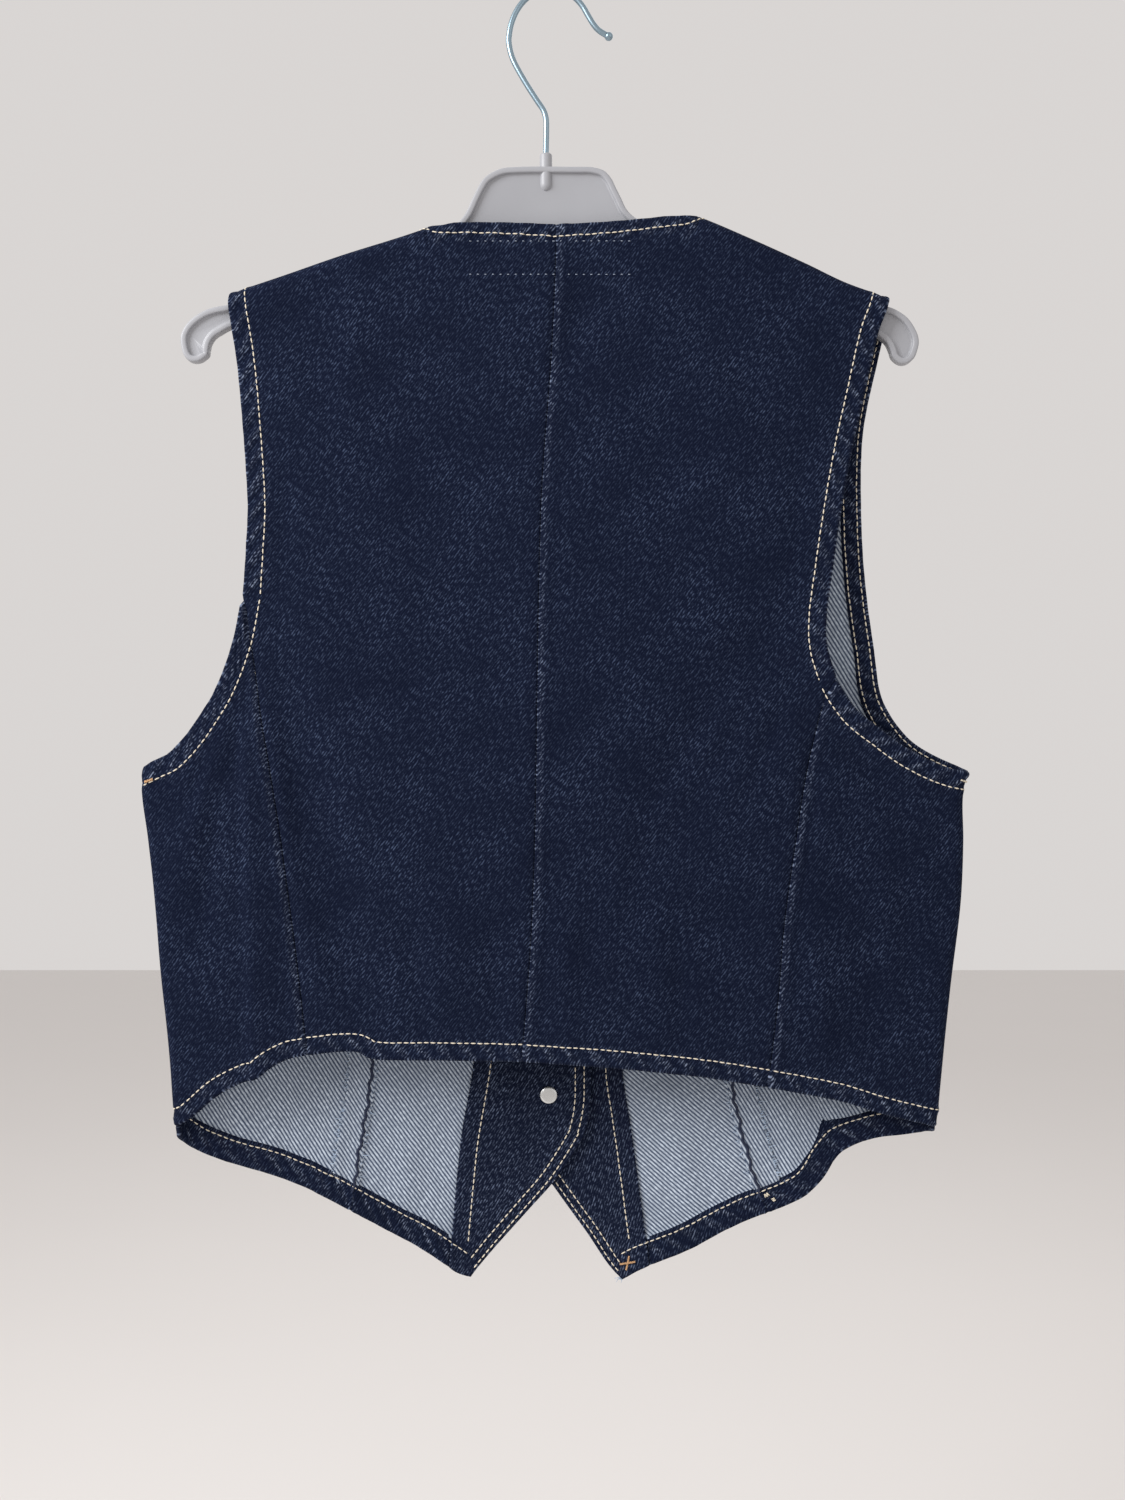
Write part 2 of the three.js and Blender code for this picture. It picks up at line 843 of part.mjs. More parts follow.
// A closed wall between an outer and an inner grid of points.
function wallGeometry(outer, inner) {
  const columns = outer.length;
  const rows = outer[0].length;
  const points = [...outer.flat(), ...inner.flat()];
  const out = (i, j) => i * rows + j;
  const inn = (i, j) => columns * rows + i * rows + j;
  const index = [];
  const quad = (a, b, c, d) => index.push(a, b, c, a, c, d);
  for (let i = 0; i + 1 < columns; i += 1)
    for (let j = 0; j + 1 < rows; j += 1) {
      quad(out(i, j), out(i + 1, j), out(i + 1, j + 1), out(i, j + 1));
      quad(inn(i, j), inn(i, j + 1), inn(i + 1, j + 1), inn(i + 1, j));
    }
  for (let i = 0; i + 1 < columns; i += 1) {
    const last = rows - 1;
    quad(out(i, 0), inn(i, 0), inn(i + 1, 0), out(i + 1, 0));
    quad(out(i, last), out(i + 1, last), inn(i + 1, last), inn(i, last));
  }
  for (let j = 0; j + 1 < rows; j += 1) {
    const last = columns - 1;
    quad(out(0, j), out(0, j + 1), inn(0, j + 1), inn(0, j));
    quad(out(last, j), inn(last, j), inn(last, j + 1), out(last, j + 1));
  }
  const geometry = new THREE.BufferGeometry();
  geometry.setAttribute(
    "position",
    new THREE.Float32BufferAttribute(points.flatMap((p) => [p.x, p.y, p.z]), 3),
  );
  geometry.setIndex(signedVolume(points, index) > 0 ? index : turnedFaces(index));
  return geometry;
}
function signedVolume(points, index) {
  let six = 0;
  for (let i = 0; i < index.length; i += 3) {
    const [a, b, c] = [points[index[i]], points[index[i + 1]], points[index[i + 2]]];
    six += a.dot(b.clone().cross(c));
  }
  return six / 6;
}
function turnedFaces(index) {
  const turned = [];
  for (let i = 0; i < index.length; i += 3) turned.push(index[i], index[i + 2], index[i + 1]);
  return turned;
}

// Solids for cutting and joining.
function solidOf(geometry) {
  const bare = geometry.clone();
  bare.deleteAttribute("normal");
  bare.deleteAttribute("uv");
  const merged = mergeVertices(bare, 1e-4);
  return new wasm.Manifold(
    new wasm.Mesh({
      numProp: 3,
      vertProperties: new Float32Array(merged.attributes.position.array),
      triVerts: new Uint32Array(merged.index.array),
    }),
  );
}
function geometryOf(solid) {
  const mesh = solid.getMesh();
  const geometry = new THREE.BufferGeometry();
  geometry.setAttribute("position", new THREE.BufferAttribute(mesh.vertProperties, 3));
  geometry.setIndex(new THREE.BufferAttribute(mesh.triVerts, 1));
  return geometry;
}

// The wearer's left is at -X, because the view is from behind.
const marks = SHOULDER_MARKS;
const shoulderPoints = (from, to, below) =>
  [0, 0.25, 0.5, 0.75, 1].map((t) => onShoulder(from + (to - from) * t, below));
const backShoulder = (from, to) => piece("shoulder", shoulderPoints(from, to, -SHOULDER_SEAM));
const frontShoulder = (from, to) => piece("shoulder", shoulderPoints(from, to, SHOULDER_SEAM));
const neckRows = (side) => NECK_BACK.filter(({ x }) => (x - CENTRE_BACK[0].x) * side >= 0);

// Mesh lines, as distances in from a panel's edge: round the shoulder bend and the side fold, and
// on both sides of the step where a turned hem ends.
const hemLines = [0, TURN, TURN + STEP];
const backTopLines = [SEAM_INSET, 3, 6, TURN, TURN + STEP, 14];
const frontTopLines = [SEAM_INSET, 4, 8];
const sideLines = [GAP / 2, 2.8, 5.6, TURN];
const turnedSeamLines = [SEAM_INSET, TURN, TURN + STEP];
const backCentre = {
  left: new Panel({
    face: "back",
    top: new Outline(
      backShoulder(marks.left.tip, marks.left.neck),
      piece("neck", [
        onShoulder(marks.left.neck, -SHOULDER_SEAM),
        onShoulder(marks.left.neck + NECK_CORNER, 0),
        ...neckRows(-1).map(({ x, z }) => unrolled(x, z)),
      ]),
    ),
    bottom: new Outline(seen("hem", HEM_BACK_CENTRE_LEFT)),
    left: new Outline(
      piece("armhole", [
        onShoulder(marks.left.tip, -SHOULDER_SEAM),
        onShoulder(marks.left.tip, 0),
        ...ARMHOLE_BACK_LEFT.map(({ x, z }) => unrolled(x, z)),
      ]),
      seen("seam", BACK_SEAM_LEFT),
    ),
    right: new Outline(seen("seam", CENTRE_BACK)),
    columns: meshLines(turnedSeamLines, 8, [GAP / 2]),
    rows: meshLines(backTopLines, 15, hemLines),
    doubled: ["armhole", "neck", "hem"],
  }),
  right: new Panel({
    face: "back",
    top: new Outline(
      piece("neck", [
        ...neckRows(1).map(({ x, z }) => unrolled(x, z)),
        onShoulder(marks.right.neck - NECK_CORNER, 0),
        onShoulder(marks.right.neck, -SHOULDER_SEAM),
      ]),
      backShoulder(marks.right.neck, marks.right.tip),
    ),
    bottom: new Outline(seen("hem", HEM_BACK_CENTRE_RIGHT)),
    left: new Outline(seen("seam", CENTRE_BACK)),
    right: new Outline(
      piece("armhole", [
        onShoulder(marks.right.tip, -SHOULDER_SEAM),
        onShoulder(marks.right.tip, 0),
        ...ARMHOLE_BACK_RIGHT.map(({ x, z }) => unrolled(x, z)),
      ]),
      seen("seam", BACK_SEAM_RIGHT),
    ),
    columns: meshLines([GAP / 2], 8, turnedSeamLines),
    rows: meshLines(backTopLines, 15, hemLines),
    doubled: ["armhole", "neck", "hem"],
  }),
};

const ARMPIT = { left: ARMHOLE_LOW_LEFT[0].z, right: ARMHOLE_LOW_RIGHT.at(-1).z };
const backSide = {
  left: new Panel({
    face: "back",
    top: new Outline(seen("armhole", ARMHOLE_LOW_LEFT)),
    bottom: new Outline(seen("hem", HEM_BACK_SIDE_LEFT)),
    left: new Outline(sideOutline("left", ARMPIT.left, HEM_BACK_SIDE_LEFT[0].z)),
    right: new Outline(seen("seam", BACK_SEAM_LEFT)),
    columns: meshLines(sideLines, 7, [SEAM_INSET]),
    rows: meshLines(hemLines, 12, hemLines),
    doubled: ["armhole", "hem"],
  }),
  right: new Panel({
    face: "back",
    top: new Outline(seen("armhole", ARMHOLE_LOW_RIGHT)),
    bottom: new Outline(seen("hem", HEM_BACK_SIDE_RIGHT)),
    left: new Outline(seen("seam", BACK_SEAM_RIGHT)),
    right: new Outline(sideOutline("right", ARMPIT.right, HEM_BACK_SIDE_RIGHT.at(-1).z)),
    columns: meshLines([SEAM_INSET], 6, sideLines),
    rows: meshLines(hemLines, 12, hemLines),
    doubled: ["armhole", "hem"],
  }),
};
const frontSide = {
  left: new Panel({
    face: "front",
    top: new Outline(frontShoulder(marks.left.tip, marks.left.seam)),
    bottom: new Outline(seen("hem", HEM_FRONT_SIDE_LEFT)),
    left: new Outline(
      piece("armhole", [
        onShoulder(marks.left.tip, SHOULDER_SEAM),
        ...ARMHOLE_FRONT_LEFT.map(({ x, z }) => unrolled(x, z)),
      ]),
      sideOutline("left", ARMPIT.left, HEM_FRONT_SIDE_LEFT[0].z),
    ),
    right: new Outline(
      piece("seam", [
        onShoulder(marks.left.seam, SHOULDER_SEAM),
        ...FRONT_SEAM_LEFT.map(({ x, z }) => unrolled(x, z)),
      ]),
    ),
    columns: meshLines([...sideLines, TURN + STEP], 6, [SEAM_INSET]),
    rows: meshLines(frontTopLines, 17, hemLines),
    doubled: ["armhole", "hem"],
  }),
  right: new Panel({
    face: "frontRight",
    top: new Outline(frontShoulder(marks.right.seam, marks.right.tip)),
    bottom: new Outline(seen("hem", reversed(HEM_FRONT_SIDE_RIGHT))),
    left: new Outline(
      piece("seam", [
        onShoulder(marks.right.seam, SHOULDER_SEAM),
        ...FRONT_SEAM_RIGHT.map(({ x, z }) => unrolled(x, z)),
      ]),
    ),
    right: new Outline(
      piece("armhole", [
        onShoulder(marks.right.tip, SHOULDER_SEAM),
        ...ARMHOLE_FRONT_RIGHT.map(({ x, z }) => unrolled(x, z)),
      ]),
      sideOutline("right", ARMPIT.right, HEM_FRONT_SIDE_RIGHT[0].z),
    ),
    columns: meshLines([SEAM_INSET], 8, [...sideLines, TURN + STEP]),
    rows: meshLines(frontTopLines, 17, hemLines),
    doubled: ["armhole", "hem"],
  }),
};

// A front centre panel has a mesh column down its facing line and one down to its point.
const PLAIN_COLUMNS = 4;
const FACING_COLUMNS = 3;
const POINT_COLUMNS = 2;
function frontCentrePanel({ face, seamFirst, top, bottom, seam, edge, facingLine }) {
  const hemShare = bottom.endOf(seamFirst ? "hem" : "point");
  const pointShare = bottom.endOf(seamFirst ? "point" : "diagonal");
  const line = new Outline(
    piece("facing", [
      top.at(hemShare),
      ...facingLine.map(({ x, z }) => unrolled(x, z)),
      bottom.at(hemShare),
    ]),
  );
  const run = (from, to, count) =>
    Array.from({ length: count - 1 }, (_, i) => ({ share: (i + 1) / count, from, to }));
  const columns = seamFirst
    ? [
        { start: SEAM_INSET },
        ...run(undefined, hemShare, PLAIN_COLUMNS),
        { guide: hemShare },
        ...run(hemShare, pointShare, POINT_COLUMNS),
        { guide: pointShare },
        ...run(pointShare, undefined, FACING_COLUMNS),
        { end: 0 },
      ]
    : [
        { start: 0 },
        ...run(undefined, pointShare, FACING_COLUMNS),
        { guide: pointShare },
        ...run(pointShare, hemShare, POINT_COLUMNS),
        { guide: hemShare },
        ...run(hemShare, undefined, PLAIN_COLUMNS),
        { end: SEAM_INSET },
      ];
  return new Panel({
    face,
    top,
    bottom,
    left: seamFirst ? seam : edge,
    right: seamFirst ? edge : seam,
    columns,
    rows: meshLines(frontTopLines, 17, hemLines),
    guide: { line, share: hemShare },
    doubled: ["hem"],
  });
}
const frontEdge = (neck, rows) =>
  new Outline(
    piece("edge", [onShoulder(neck, SHOULDER_SEAM), ...rows.map(({ x, z }) => unrolled(x, z))]),
  );
const frontSeam = (mark, rows) =>
  new Outline(
    piece("seam", [onShoulder(mark, SHOULDER_SEAM), ...rows.map(({ x, z }) => unrolled(x, z))]),
  );
const frontCentre = {
  left: frontCentrePanel({
    face: "front",
    seamFirst: true,
    top: new Outline(frontShoulder(marks.left.seam, marks.left.neck)),
    bottom: new Outline(
      seen("hem", HEM_FRONT_CENTRE_LEFT),
      seen("point", POINT_LEFT),
      seen("diagonal", DIAGONAL_LEFT),
    ),
    seam: frontSeam(marks.left.seam, FRONT_SEAM_LEFT),
    edge: frontEdge(marks.left.neck, FRONT_EDGE_LEFT),
    facingLine: FACING_LINE_LEFT,
  }),
  right: frontCentrePanel({
    face: "frontRight",
    seamFirst: false,
    top: new Outline(frontShoulder(marks.right.neck, marks.right.seam)),
    bottom: new Outline(
      seen("diagonal", reversed(DIAGONAL_RIGHT)),
      seen("point", reversed(POINT_RIGHT)),
      seen("hem", reversed(HEM_FRONT_CENTRE_RIGHT)),
    ),
    seam: frontSeam(marks.right.seam, FRONT_SEAM_RIGHT),
    edge: frontEdge(marks.right.neck, FRONT_EDGE_RIGHT),
    facingLine: FACING_LINE_RIGHT,
  }),
};

addMesh("back_centre_left", backCentre.left.wall(), DENIM);
addMesh("back_centre_right", backCentre.right.wall(), DENIM);
addMesh("back_side_left", backSide.left.wall(), DENIM);
addMesh("back_side_right", backSide.right.wall(), DENIM);
addMesh("front_side_left", frontSide.left.wall(), DENIM);
addMesh("front_side_right", frontSide.right.wall(), DENIM);

// Buttons, tacks and the holes that they pass through. Each stands on the under front.
const UNDER = -(WALL + GAP + WALL); // inner face of the under front's facing
const OVER = LAP.depth + GAP; // under side of a button's cap
const revolved = (rows, sides) =>
  new THREE.LatheGeometry(rows.map(([r, y]) => new THREE.Vector2(r, y)), sides);
function buttonFrame(height) {
  const turn = new THREE.Quaternion().setFromUnitVectors(
    new THREE.Vector3(0, 1, 0),
    clothNormal("front", BUTTON_X, height),
  );
  const place = clothPoint("front", BUTTON_X, height);
  return new THREE.Matrix4().compose(place, turn, new THREE.Vector3(1, 1, 1));
}
function buttonGeometry() {
  const { radius, dome, rim, shoulder, crown, shank, sides } = BUTTON;
  return revolved(
    [
      [0, GAP],
      [shank, GAP],
      [shank, OVER],
      [radius, OVER],
      [radius, OVER + rim],
      [shoulder, OVER + (rim + 2 * dome) / 3],
      [crown, OVER + dome],
      [0, OVER + dome],
    ],
    sides,
  );
}
function tackGeometry() {
  const { radius, flat, thick, edge, pin, sides } = TACK;
  const head = UNDER - GAP;
  return revolved(
    [
      [0, head - thick],
      [flat, head - thick],
      [radius, head - edge],
      [radius, head],
      [pin, head],
      [pin, 0],
      [0, 0],
    ],
    sides,
  );
}
const drill = (radius, low, high, sides) =>
  revolved(
    [
      [0, low],
      [radius, low],
      [radius, high],
      [0, high],
    ],
    sides,
  );
const fronts = {
  front_centre_left: solidOf(frontCentre.left.wall()),
  facing_left: solidOf(frontCentre.left.lining(PLAIN_COLUMNS, frontCentre.left.columns.length - 1)),
  front_centre_right: solidOf(frontCentre.right.wall()),
  facing_right: solidOf(frontCentre.right.lining(0, FACING_COLUMNS + POINT_COLUMNS)),
};
BUTTON_HEIGHTS.forEach((height, i) => {
  const frame = buttonFrame(height);
  const button = addMesh("button_" + (i + 1), buttonGeometry(), TIN);
  const tack = addMesh("tack_" + (i + 1), tackGeometry(), TIN);
  for (const mesh of [button, tack]) mesh.applyMatrix4(frame);
  const { eyelet: round, slit: long, slitHigh, from, past, sides } = BUTTONHOLE;
  const pinHole = solidOf(drill(TACK.pin + GAP, UNDER - past, past, sides).applyMatrix4(frame));
  const eyelet = solidOf(drill(round, from, OVER + past, sides).applyMatrix4(frame));
  const deep = OVER + past - from;
  const slit = new THREE.BoxGeometry(long, deep, slitHigh);
  slit.translate(long / 2, from + deep / 2, 0).applyMatrix4(frame);
  const keyhole = eyelet.add(solidOf(slit));
  for (const name of ["front_centre_left", "facing_left"])
    fronts[name] = fronts[name].subtract(pinHole);
  for (const name of ["front_centre_right", "facing_right"])
    fronts[name] = fronts[name].subtract(keyhole);
});
for (const [name, solid] of Object.entries(fronts))
  addMesh(name, geometryOf(solid), name.startsWith("facing") ? FACING_DENIM : DENIM);

// Hanger
const armTop = (x) => ({ x, z: shoulderFold(x) - HANGER.armDrop });
const hangerRows = [
  ...HANGER_NECK,
  ...ARM_PLACES_RIGHT.map(armTop),
  ...HANGER_END_RIGHT,
  ...HANGER_UNDER,
  ...HANGER_END_LEFT,
  ...ARM_PLACES_LEFT.map(armTop),
];
const hangerCurve = new THREE.CatmullRomCurve3(
  hangerRows.map(({ x, z }) => new THREE.Vector3(x, z, 0)),
  true,
  "centripetal",
);
const hangerOutline = hangerCurve
  .getPoints(Math.round(hangerRows.length * HANGER.pointsPerRow))
  .slice(0, -1);
function insetOutline(points, distance) {
  return points.map((point, i) => {
    const before = points[(i + points.length - 1) % points.length];
    const after = points[(i + 1) % points.length];
    const along = after.clone().sub(before).normalize();
    return new THREE.Vector2(point.x + along.y * distance, point.y - along.x * distance);
  });
}
// The outline runs clockwise, so its inner side is on the right of each step.
function slab(outer, hole, thick, chamfer) {
  const shape = new THREE.Shape(outer.map((p) => new THREE.Vector2(p.x, p.y)));
  if (hole) shape.holes.push(new THREE.Path(reversed(hole)));
  const geometry = new THREE.ExtrudeGeometry(shape, {
    depth: thick - 2 * chamfer,
    bevelEnabled: chamfer > 0,
    bevelThickness: chamfer,
    bevelSize: chamfer,
    bevelOffset: -chamfer,
    bevelSegments: 1,
    curveSegments: 1,
  });
  return geometry.translate(0, 0, chamfer - thick / 2).rotateX(Math.PI / 2);
}
const rimInside = insetOutline(hangerOutline, HANGER.rimWide);
const boss = revolved(
  [
    [0, BOSS.foot],
    [BOSS.toe, BOSS.foot + BOSS.edge],
    [BOSS.radius, BOSS.foot + BOSS.radius],
    [BOSS.radius, BOSS.top - BOSS.edge],
    [BOSS.radius - BOSS.edge, BOSS.top],
    [0, BOSS.top],
  ],
  BOSS.sides,
);
const bore = drill(WIRE / 2 + GAP, BOSS.top - BOSS.bore, BOSS.top + 1, BOSS.sides);
for (const upright of [boss, bore]) upright.rotateX(Math.PI / 2).translate(BOSS.x, 0, 0);
const hanger = solidOf(slab(hangerOutline, null, HANGER.web, 0))
  .add(solidOf(slab(hangerOutline, rimInside, HANGER.rim, HANGER.rimChamfer)))
  .add(solidOf(boss))
  .subtract(solidOf(bore));
addMesh("hanger", geometryOf(hanger), PLASTIC);

// Hook: the wire's centre line up the stem, round the rod and out to its tip.
const arc = [];
for (let i = 0; i <= HOOK.arcSteps; i += 1) {
  const degrees = HOOK.from + ((HOOK.to - HOOK.from) * i) / HOOK.arcSteps;
  const angle = THREE.MathUtils.degToRad(degrees);
  arc.push({
    x: HOOK.centreX + HOOK.across * Math.cos(angle),
    z: HOOK.centreZ + (WIRE / 2 - HOOK.centreZ) * Math.sin(angle),
  });
}
const wirePath = new THREE.CatmullRomCurve3(
  [...HOOK_STEM, ...arc, ...HOOK_FLARE].map(({ x, z }) => new THREE.Vector3(x, 0, z)),
  false,
  "centripetal",
);
const wireSection = new THREE.Shape(
  Array.from({ length: HOOK_MESH.sides }, (_, i) => {
    const angle = (2 * Math.PI * (i + 0.5)) / HOOK_MESH.sides;
    return new THREE.Vector2((WIRE / 2) * Math.cos(angle), (WIRE / 2) * Math.sin(angle));
  }),
);
const wire = solidOf(
  new THREE.ExtrudeGeometry(wireSection, {
    steps: HOOK_MESH.steps,
    extrudePath: wirePath,
    bevelEnabled: false,
  }),
);
const tip = new THREE.SphereGeometry(HOOK_MESH.tip, HOOK_MESH.tipSides, HOOK_MESH.tipRings);
tip.translate(HOOK_FLARE.at(-1).x, 0, HOOK_FLARE.at(-1).z);
addMesh("hook", geometryOf(wire.add(solidOf(tip))), ZINC);

export default group;
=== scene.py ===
"""A denim waistcoat on a moulded plastic hanger, seen from its back.

The vest is sewn from eight panels and two front facings of raw indigo twill, with turned hems,
tan topstitching, jeans buttons up the front and frayed seam allowances inside. It hangs on a grey
hanger with a zinc plated wire hook. Sizes are in millimetres until a mesh is made. The back faces
-Y, +Z is up and the wearer's left is at -X. Cloth places are given on the unrolled panel (u, w):
u runs along X and w along Z, rolled round the shoulder fold and the side folds.
"""

from __future__ import annotations

import logging
import math
from collections.abc import Sequence
from dataclasses import dataclass, field
from enum import Enum

import bpy
import numpy as np
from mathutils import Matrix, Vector
from mathutils.bvhtree import BVHTree

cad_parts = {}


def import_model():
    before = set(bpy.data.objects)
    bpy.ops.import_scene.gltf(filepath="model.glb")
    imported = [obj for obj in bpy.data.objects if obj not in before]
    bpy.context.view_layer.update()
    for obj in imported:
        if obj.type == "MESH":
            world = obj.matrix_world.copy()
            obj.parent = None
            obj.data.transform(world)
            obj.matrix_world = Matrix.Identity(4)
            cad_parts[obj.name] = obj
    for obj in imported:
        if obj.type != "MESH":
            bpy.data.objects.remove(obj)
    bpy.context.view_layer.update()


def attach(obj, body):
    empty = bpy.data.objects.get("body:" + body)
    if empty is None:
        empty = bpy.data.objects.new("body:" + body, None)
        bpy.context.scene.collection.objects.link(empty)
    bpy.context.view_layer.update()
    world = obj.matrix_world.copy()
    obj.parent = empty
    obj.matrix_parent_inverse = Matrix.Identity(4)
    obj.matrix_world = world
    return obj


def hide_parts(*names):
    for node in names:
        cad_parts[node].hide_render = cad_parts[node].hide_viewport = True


log = logging.getLogger("vest")

MM = 0.001
WALL = 1.3  # one layer of raw denim, with its nap
GAP = 0.3
SEAM_INSET = 0.02  # a panel's edge stops this far short of a seam line
TURN = 9.5  # width of a turned hem
FRONT_TURN = 13.0  # the fronts' lower hem is turned wider
STEP = 0.7  # run of the step where a turned hem ends
ALLOWANCE = 11.5  # seam allowance left inside
CELL = 2.3  # a cloth mesh's cell


class Face(Enum):
    """Which wall of the hollow vest a panel lies in."""

    BACK = "back"
    UNDER = "under"  # the wearer's left front, which the other one laps over
    OVER = "over"  # the wearer's right front


@dataclass(frozen=True)
class Table:
    """A short table with named columns."""

    columns: tuple[str, ...]
    rows: np.ndarray

    def __getitem__(self, name: str) -> np.ndarray:
        """One column."""
        return self.rows[:, self.columns.index(name)]

    def smooth(self, key: str, column: str, at: np.ndarray | float) -> np.ndarray:
        """A smooth value of a column, held level past the table's ends.

        Args:
            key: the column that rises or falls steadily.
            column: the column wanted.
            at: places in the key column.

        Returns:
            The values at those places.
        """
        keys, values = self[key], self[column]
        if keys[0] > keys[-1]:
            keys, values = keys[::-1], values[::-1]
        straight = np.diff(values) / np.diff(keys)
        slope = np.concatenate([straight[:1], (straight[:-1] + straight[1:]) / 2, straight[-1:]])
        x = np.clip(at, keys[0], keys[-1])
        i = np.clip(np.searchsorted(keys, x) - 1, 0, len(keys) - 2)
        span = keys[i + 1] - keys[i]
        t = (x - keys[i]) / span
        return (
            values[i] * (2 * t**3 - 3 * t**2 + 1)
            + slope[i] * span * (t**3 - 2 * t**2 + t)
            + values[i + 1] * (3 * t**2 - 2 * t**3)
            + slope[i + 1] * span * (t**3 - t**2)
        )


def table(columns: str, *rows: Sequence[float]) -> Table:
    """A Table from its column names in one string and its rows."""
    return Table(tuple(columns.split()), np.array(rows, float))


def smooth_step(t: np.ndarray | float) -> np.ndarray:
    """0 up to t = 0, 1 from t = 1, and a smooth rise between."""
    c = np.clip(t, 0.0, 1.0)
    return c * c * (3 - 2 * c)


# The top fold over the hanger arms; between the neck points it is only a guide line.
SHOULDER_FOLD = table(
    "x z",
    (-200, -158), (-155, -145), (-135, -138.5), (-100, -126.5), (-62, -114.5), (-25, -100),
    (10, -94), (45, -99), (73, -108), (96, -117.5), (125, -130.5), (144, -139.5), (166, -147),
    (206, -160),
)
# The side folds, down from the armpits.
SIDES = table(
    "z left right",
    (-100, -198.5, 206.5), (-376, -198.5, 206.5), (-385, -199, 203.5), (-410, -196, 203.5),
    (-440, -193, 202.5), (-475, -190.5, 198.5), (-510, -187, 195), (-557, -184, 191),
)
# How far the cloth stands out past the shoulder bend, in the middle of each height.
SWELL = table(
    "z back front",
    (-100, 0, 0), (-150, 2, 1.5), (-220, 4, 4), (-300, 6, 7), (-380, 7.5, 10), (-460, 8.5, 12),
    (-520, 8.5, 13), (-640, 8.5, 13),
)
# Soft folds: a bent line of three points, half width, and depth towards the body.
FOLD_COLUMNS = "x0 z0 x1 z1 x2 z2 width depth"
BACK_FOLDS = table(
    FOLD_COLUMNS,
    (116, -299, 68, -365, 25, -454, 17, 2.6), (-131, -305, -121, -400, -86, -493, 13, 2.6),
    (66, -415, 84, -452, 94, -490, 18, 1.8), (-138, -294, -122, -312, -108, -332, 8, -1.3),
    (-163, -366, -172, -402, -183, -442, 9, -1.6), (146, -368, 160, -380, 174, -396, 7, 1.8),
    (19, -143, 15, -160, 10, -176, 9, 1.2), (-70, -190, -40, -260, -30, -330, 26, 1.1),
    (70, -170, 92, -215, 108, -262, 22, -1.2), (150, -430, 158, -470, 160, -515, 12, 1.6),
    (-50, -420, -46, -465, -52, -505, 16, -1.2),
)
FRONT_FOLDS = table(
    FOLD_COLUMNS,
    (-128, -320, -100, -385, -84, -470, 15, 2.4), (131, -325, 106, -392, 92, -462, 16, 2.6),
    (-16, -396, -50, -404, -96, -432, 9, 1.8), (26, -470, 60, -484, 112, -498, 10, 1.6),
    (-150, -430, -146, -480, -150, -535, 14, 1.8), (152, -440, 146, -486, 152, -530, 13, -1.6),
    (-88, -170, -66, -240, -34, -300, 18, 1.4), (92, -166, 74, -236, 40, -300, 17, 1.5),
)
# Small creases between the main folds, which the wall's solid leaves out.
BACK_CREASES = table(
    FOLD_COLUMNS,
    (-118, -176, -110, -190, -104, -206, 5, 0.5), (-96, -150, -92, -171, -94, -195, 7, -0.5),
    (-142, -322, -150, -352, -153, -386, 5, 0.8), (-133, -352, -128, -392, -122, -430, 5, -0.7),
    (-112, -380, -104, -414, -92, -440, 6, 0.6), (-160, -380, -164, -420, -168, -456, 5, 0.6),
    (-120, -440, -110, -470, -104, -500, 6, -0.6), (-70, -440, -62, -470, -60, -508, 7, 0.7),
    (-28, -452, -24, -480, -26, -512, 6, 0.5), (12, -440, 8, -470, 10, -514, 7, -0.6),
    (40, -400, 30, -440, 26, -480, 7, -0.6), (60, -445, 66, -480, 64, -516, 6, 0.7),
    (96, -330, 76, -366, 52, -404, 6, -0.7), (118, -330, 104, -366, 92, -400, 6, 0.6),
    (126, -344, 128, -380, 124, -420, 5, 0.7), (150, -360, 168, -372, 184, -384, 4, -0.7),
    (140, -388, 152, -402, 166, -414, 5, 0.7), (172, -420, 176, -456, 178, -500, 7, 0.7),
    (128, -450, 132, -484, 136, -520, 6, -0.6), (86, -176, 98, -196, 112, -214, 6, 0.5),
    (120, -220, 122, -250, 118, -280, 6, 0.5), (-128, -226, -126, -254, -128, -284, 6, 0.5),
    (-6, -180, -8, -220, -4, -262, 8, 0.4), (52, -210, 58, -248, 66, -282, 9, 0.4),
    (-138, -291, -129, -304, -112, -322, 3.5, 0.8), (-165, -364, -170, -380, -176, -398, 3.5, 0.7),
)
FRONT_CREASES = table(
    FOLD_COLUMNS,
    (-150, -560, -158, -545, -160, -528, 5, 0.9), (-134, -574, -130, -552, -128, -530, 5, -0.7),
    (-112, -590, -108, -566, -104, -536, 5, 0.8), (-76, -604, -68, -574, -66, -540, 7, 0.5),
    (124, -590, 122, -566, 118, -540, 5, 0.6), (144, -570, 138, -552, 134, -536, 5, -0.9),
    (158, -560, 156, -546, 150, -532, 5, 0.8), (74, -610, 66, -576, 62, -548, 8, 0.5),
    (-120, -350, -106, -386, -96, -420, 6, -0.7), (120, -352, 110, -388, 98, -430, 6, -0.7),
    (-40, -420, -70, -430, -110, -452, 6, 0.7), (40, -440, 74, -452, 108, -468, 6, 0.7),
    (-60, -190, -52, -226, -40, -262, 7, 0.6), (74, -190, 62, -230, 46, -270, 7, 0.6),
    (-150, -340, -160, -380, -170, -430, 6, 0.7), (160, -360, 166, -400, 172, -440, 6, 0.7),
)
# The pressed tuck left of the back: the cloth on its right steps out over the cloth on its left.
TUCK = table(
    "z x step",
    (-330, -150.5, 0), (-360, -149, 1.2), (-400, -147.5, 2), (-450, -146.5, 2.4),
    (-510, -146, 3), (-560, -144, 3),
)
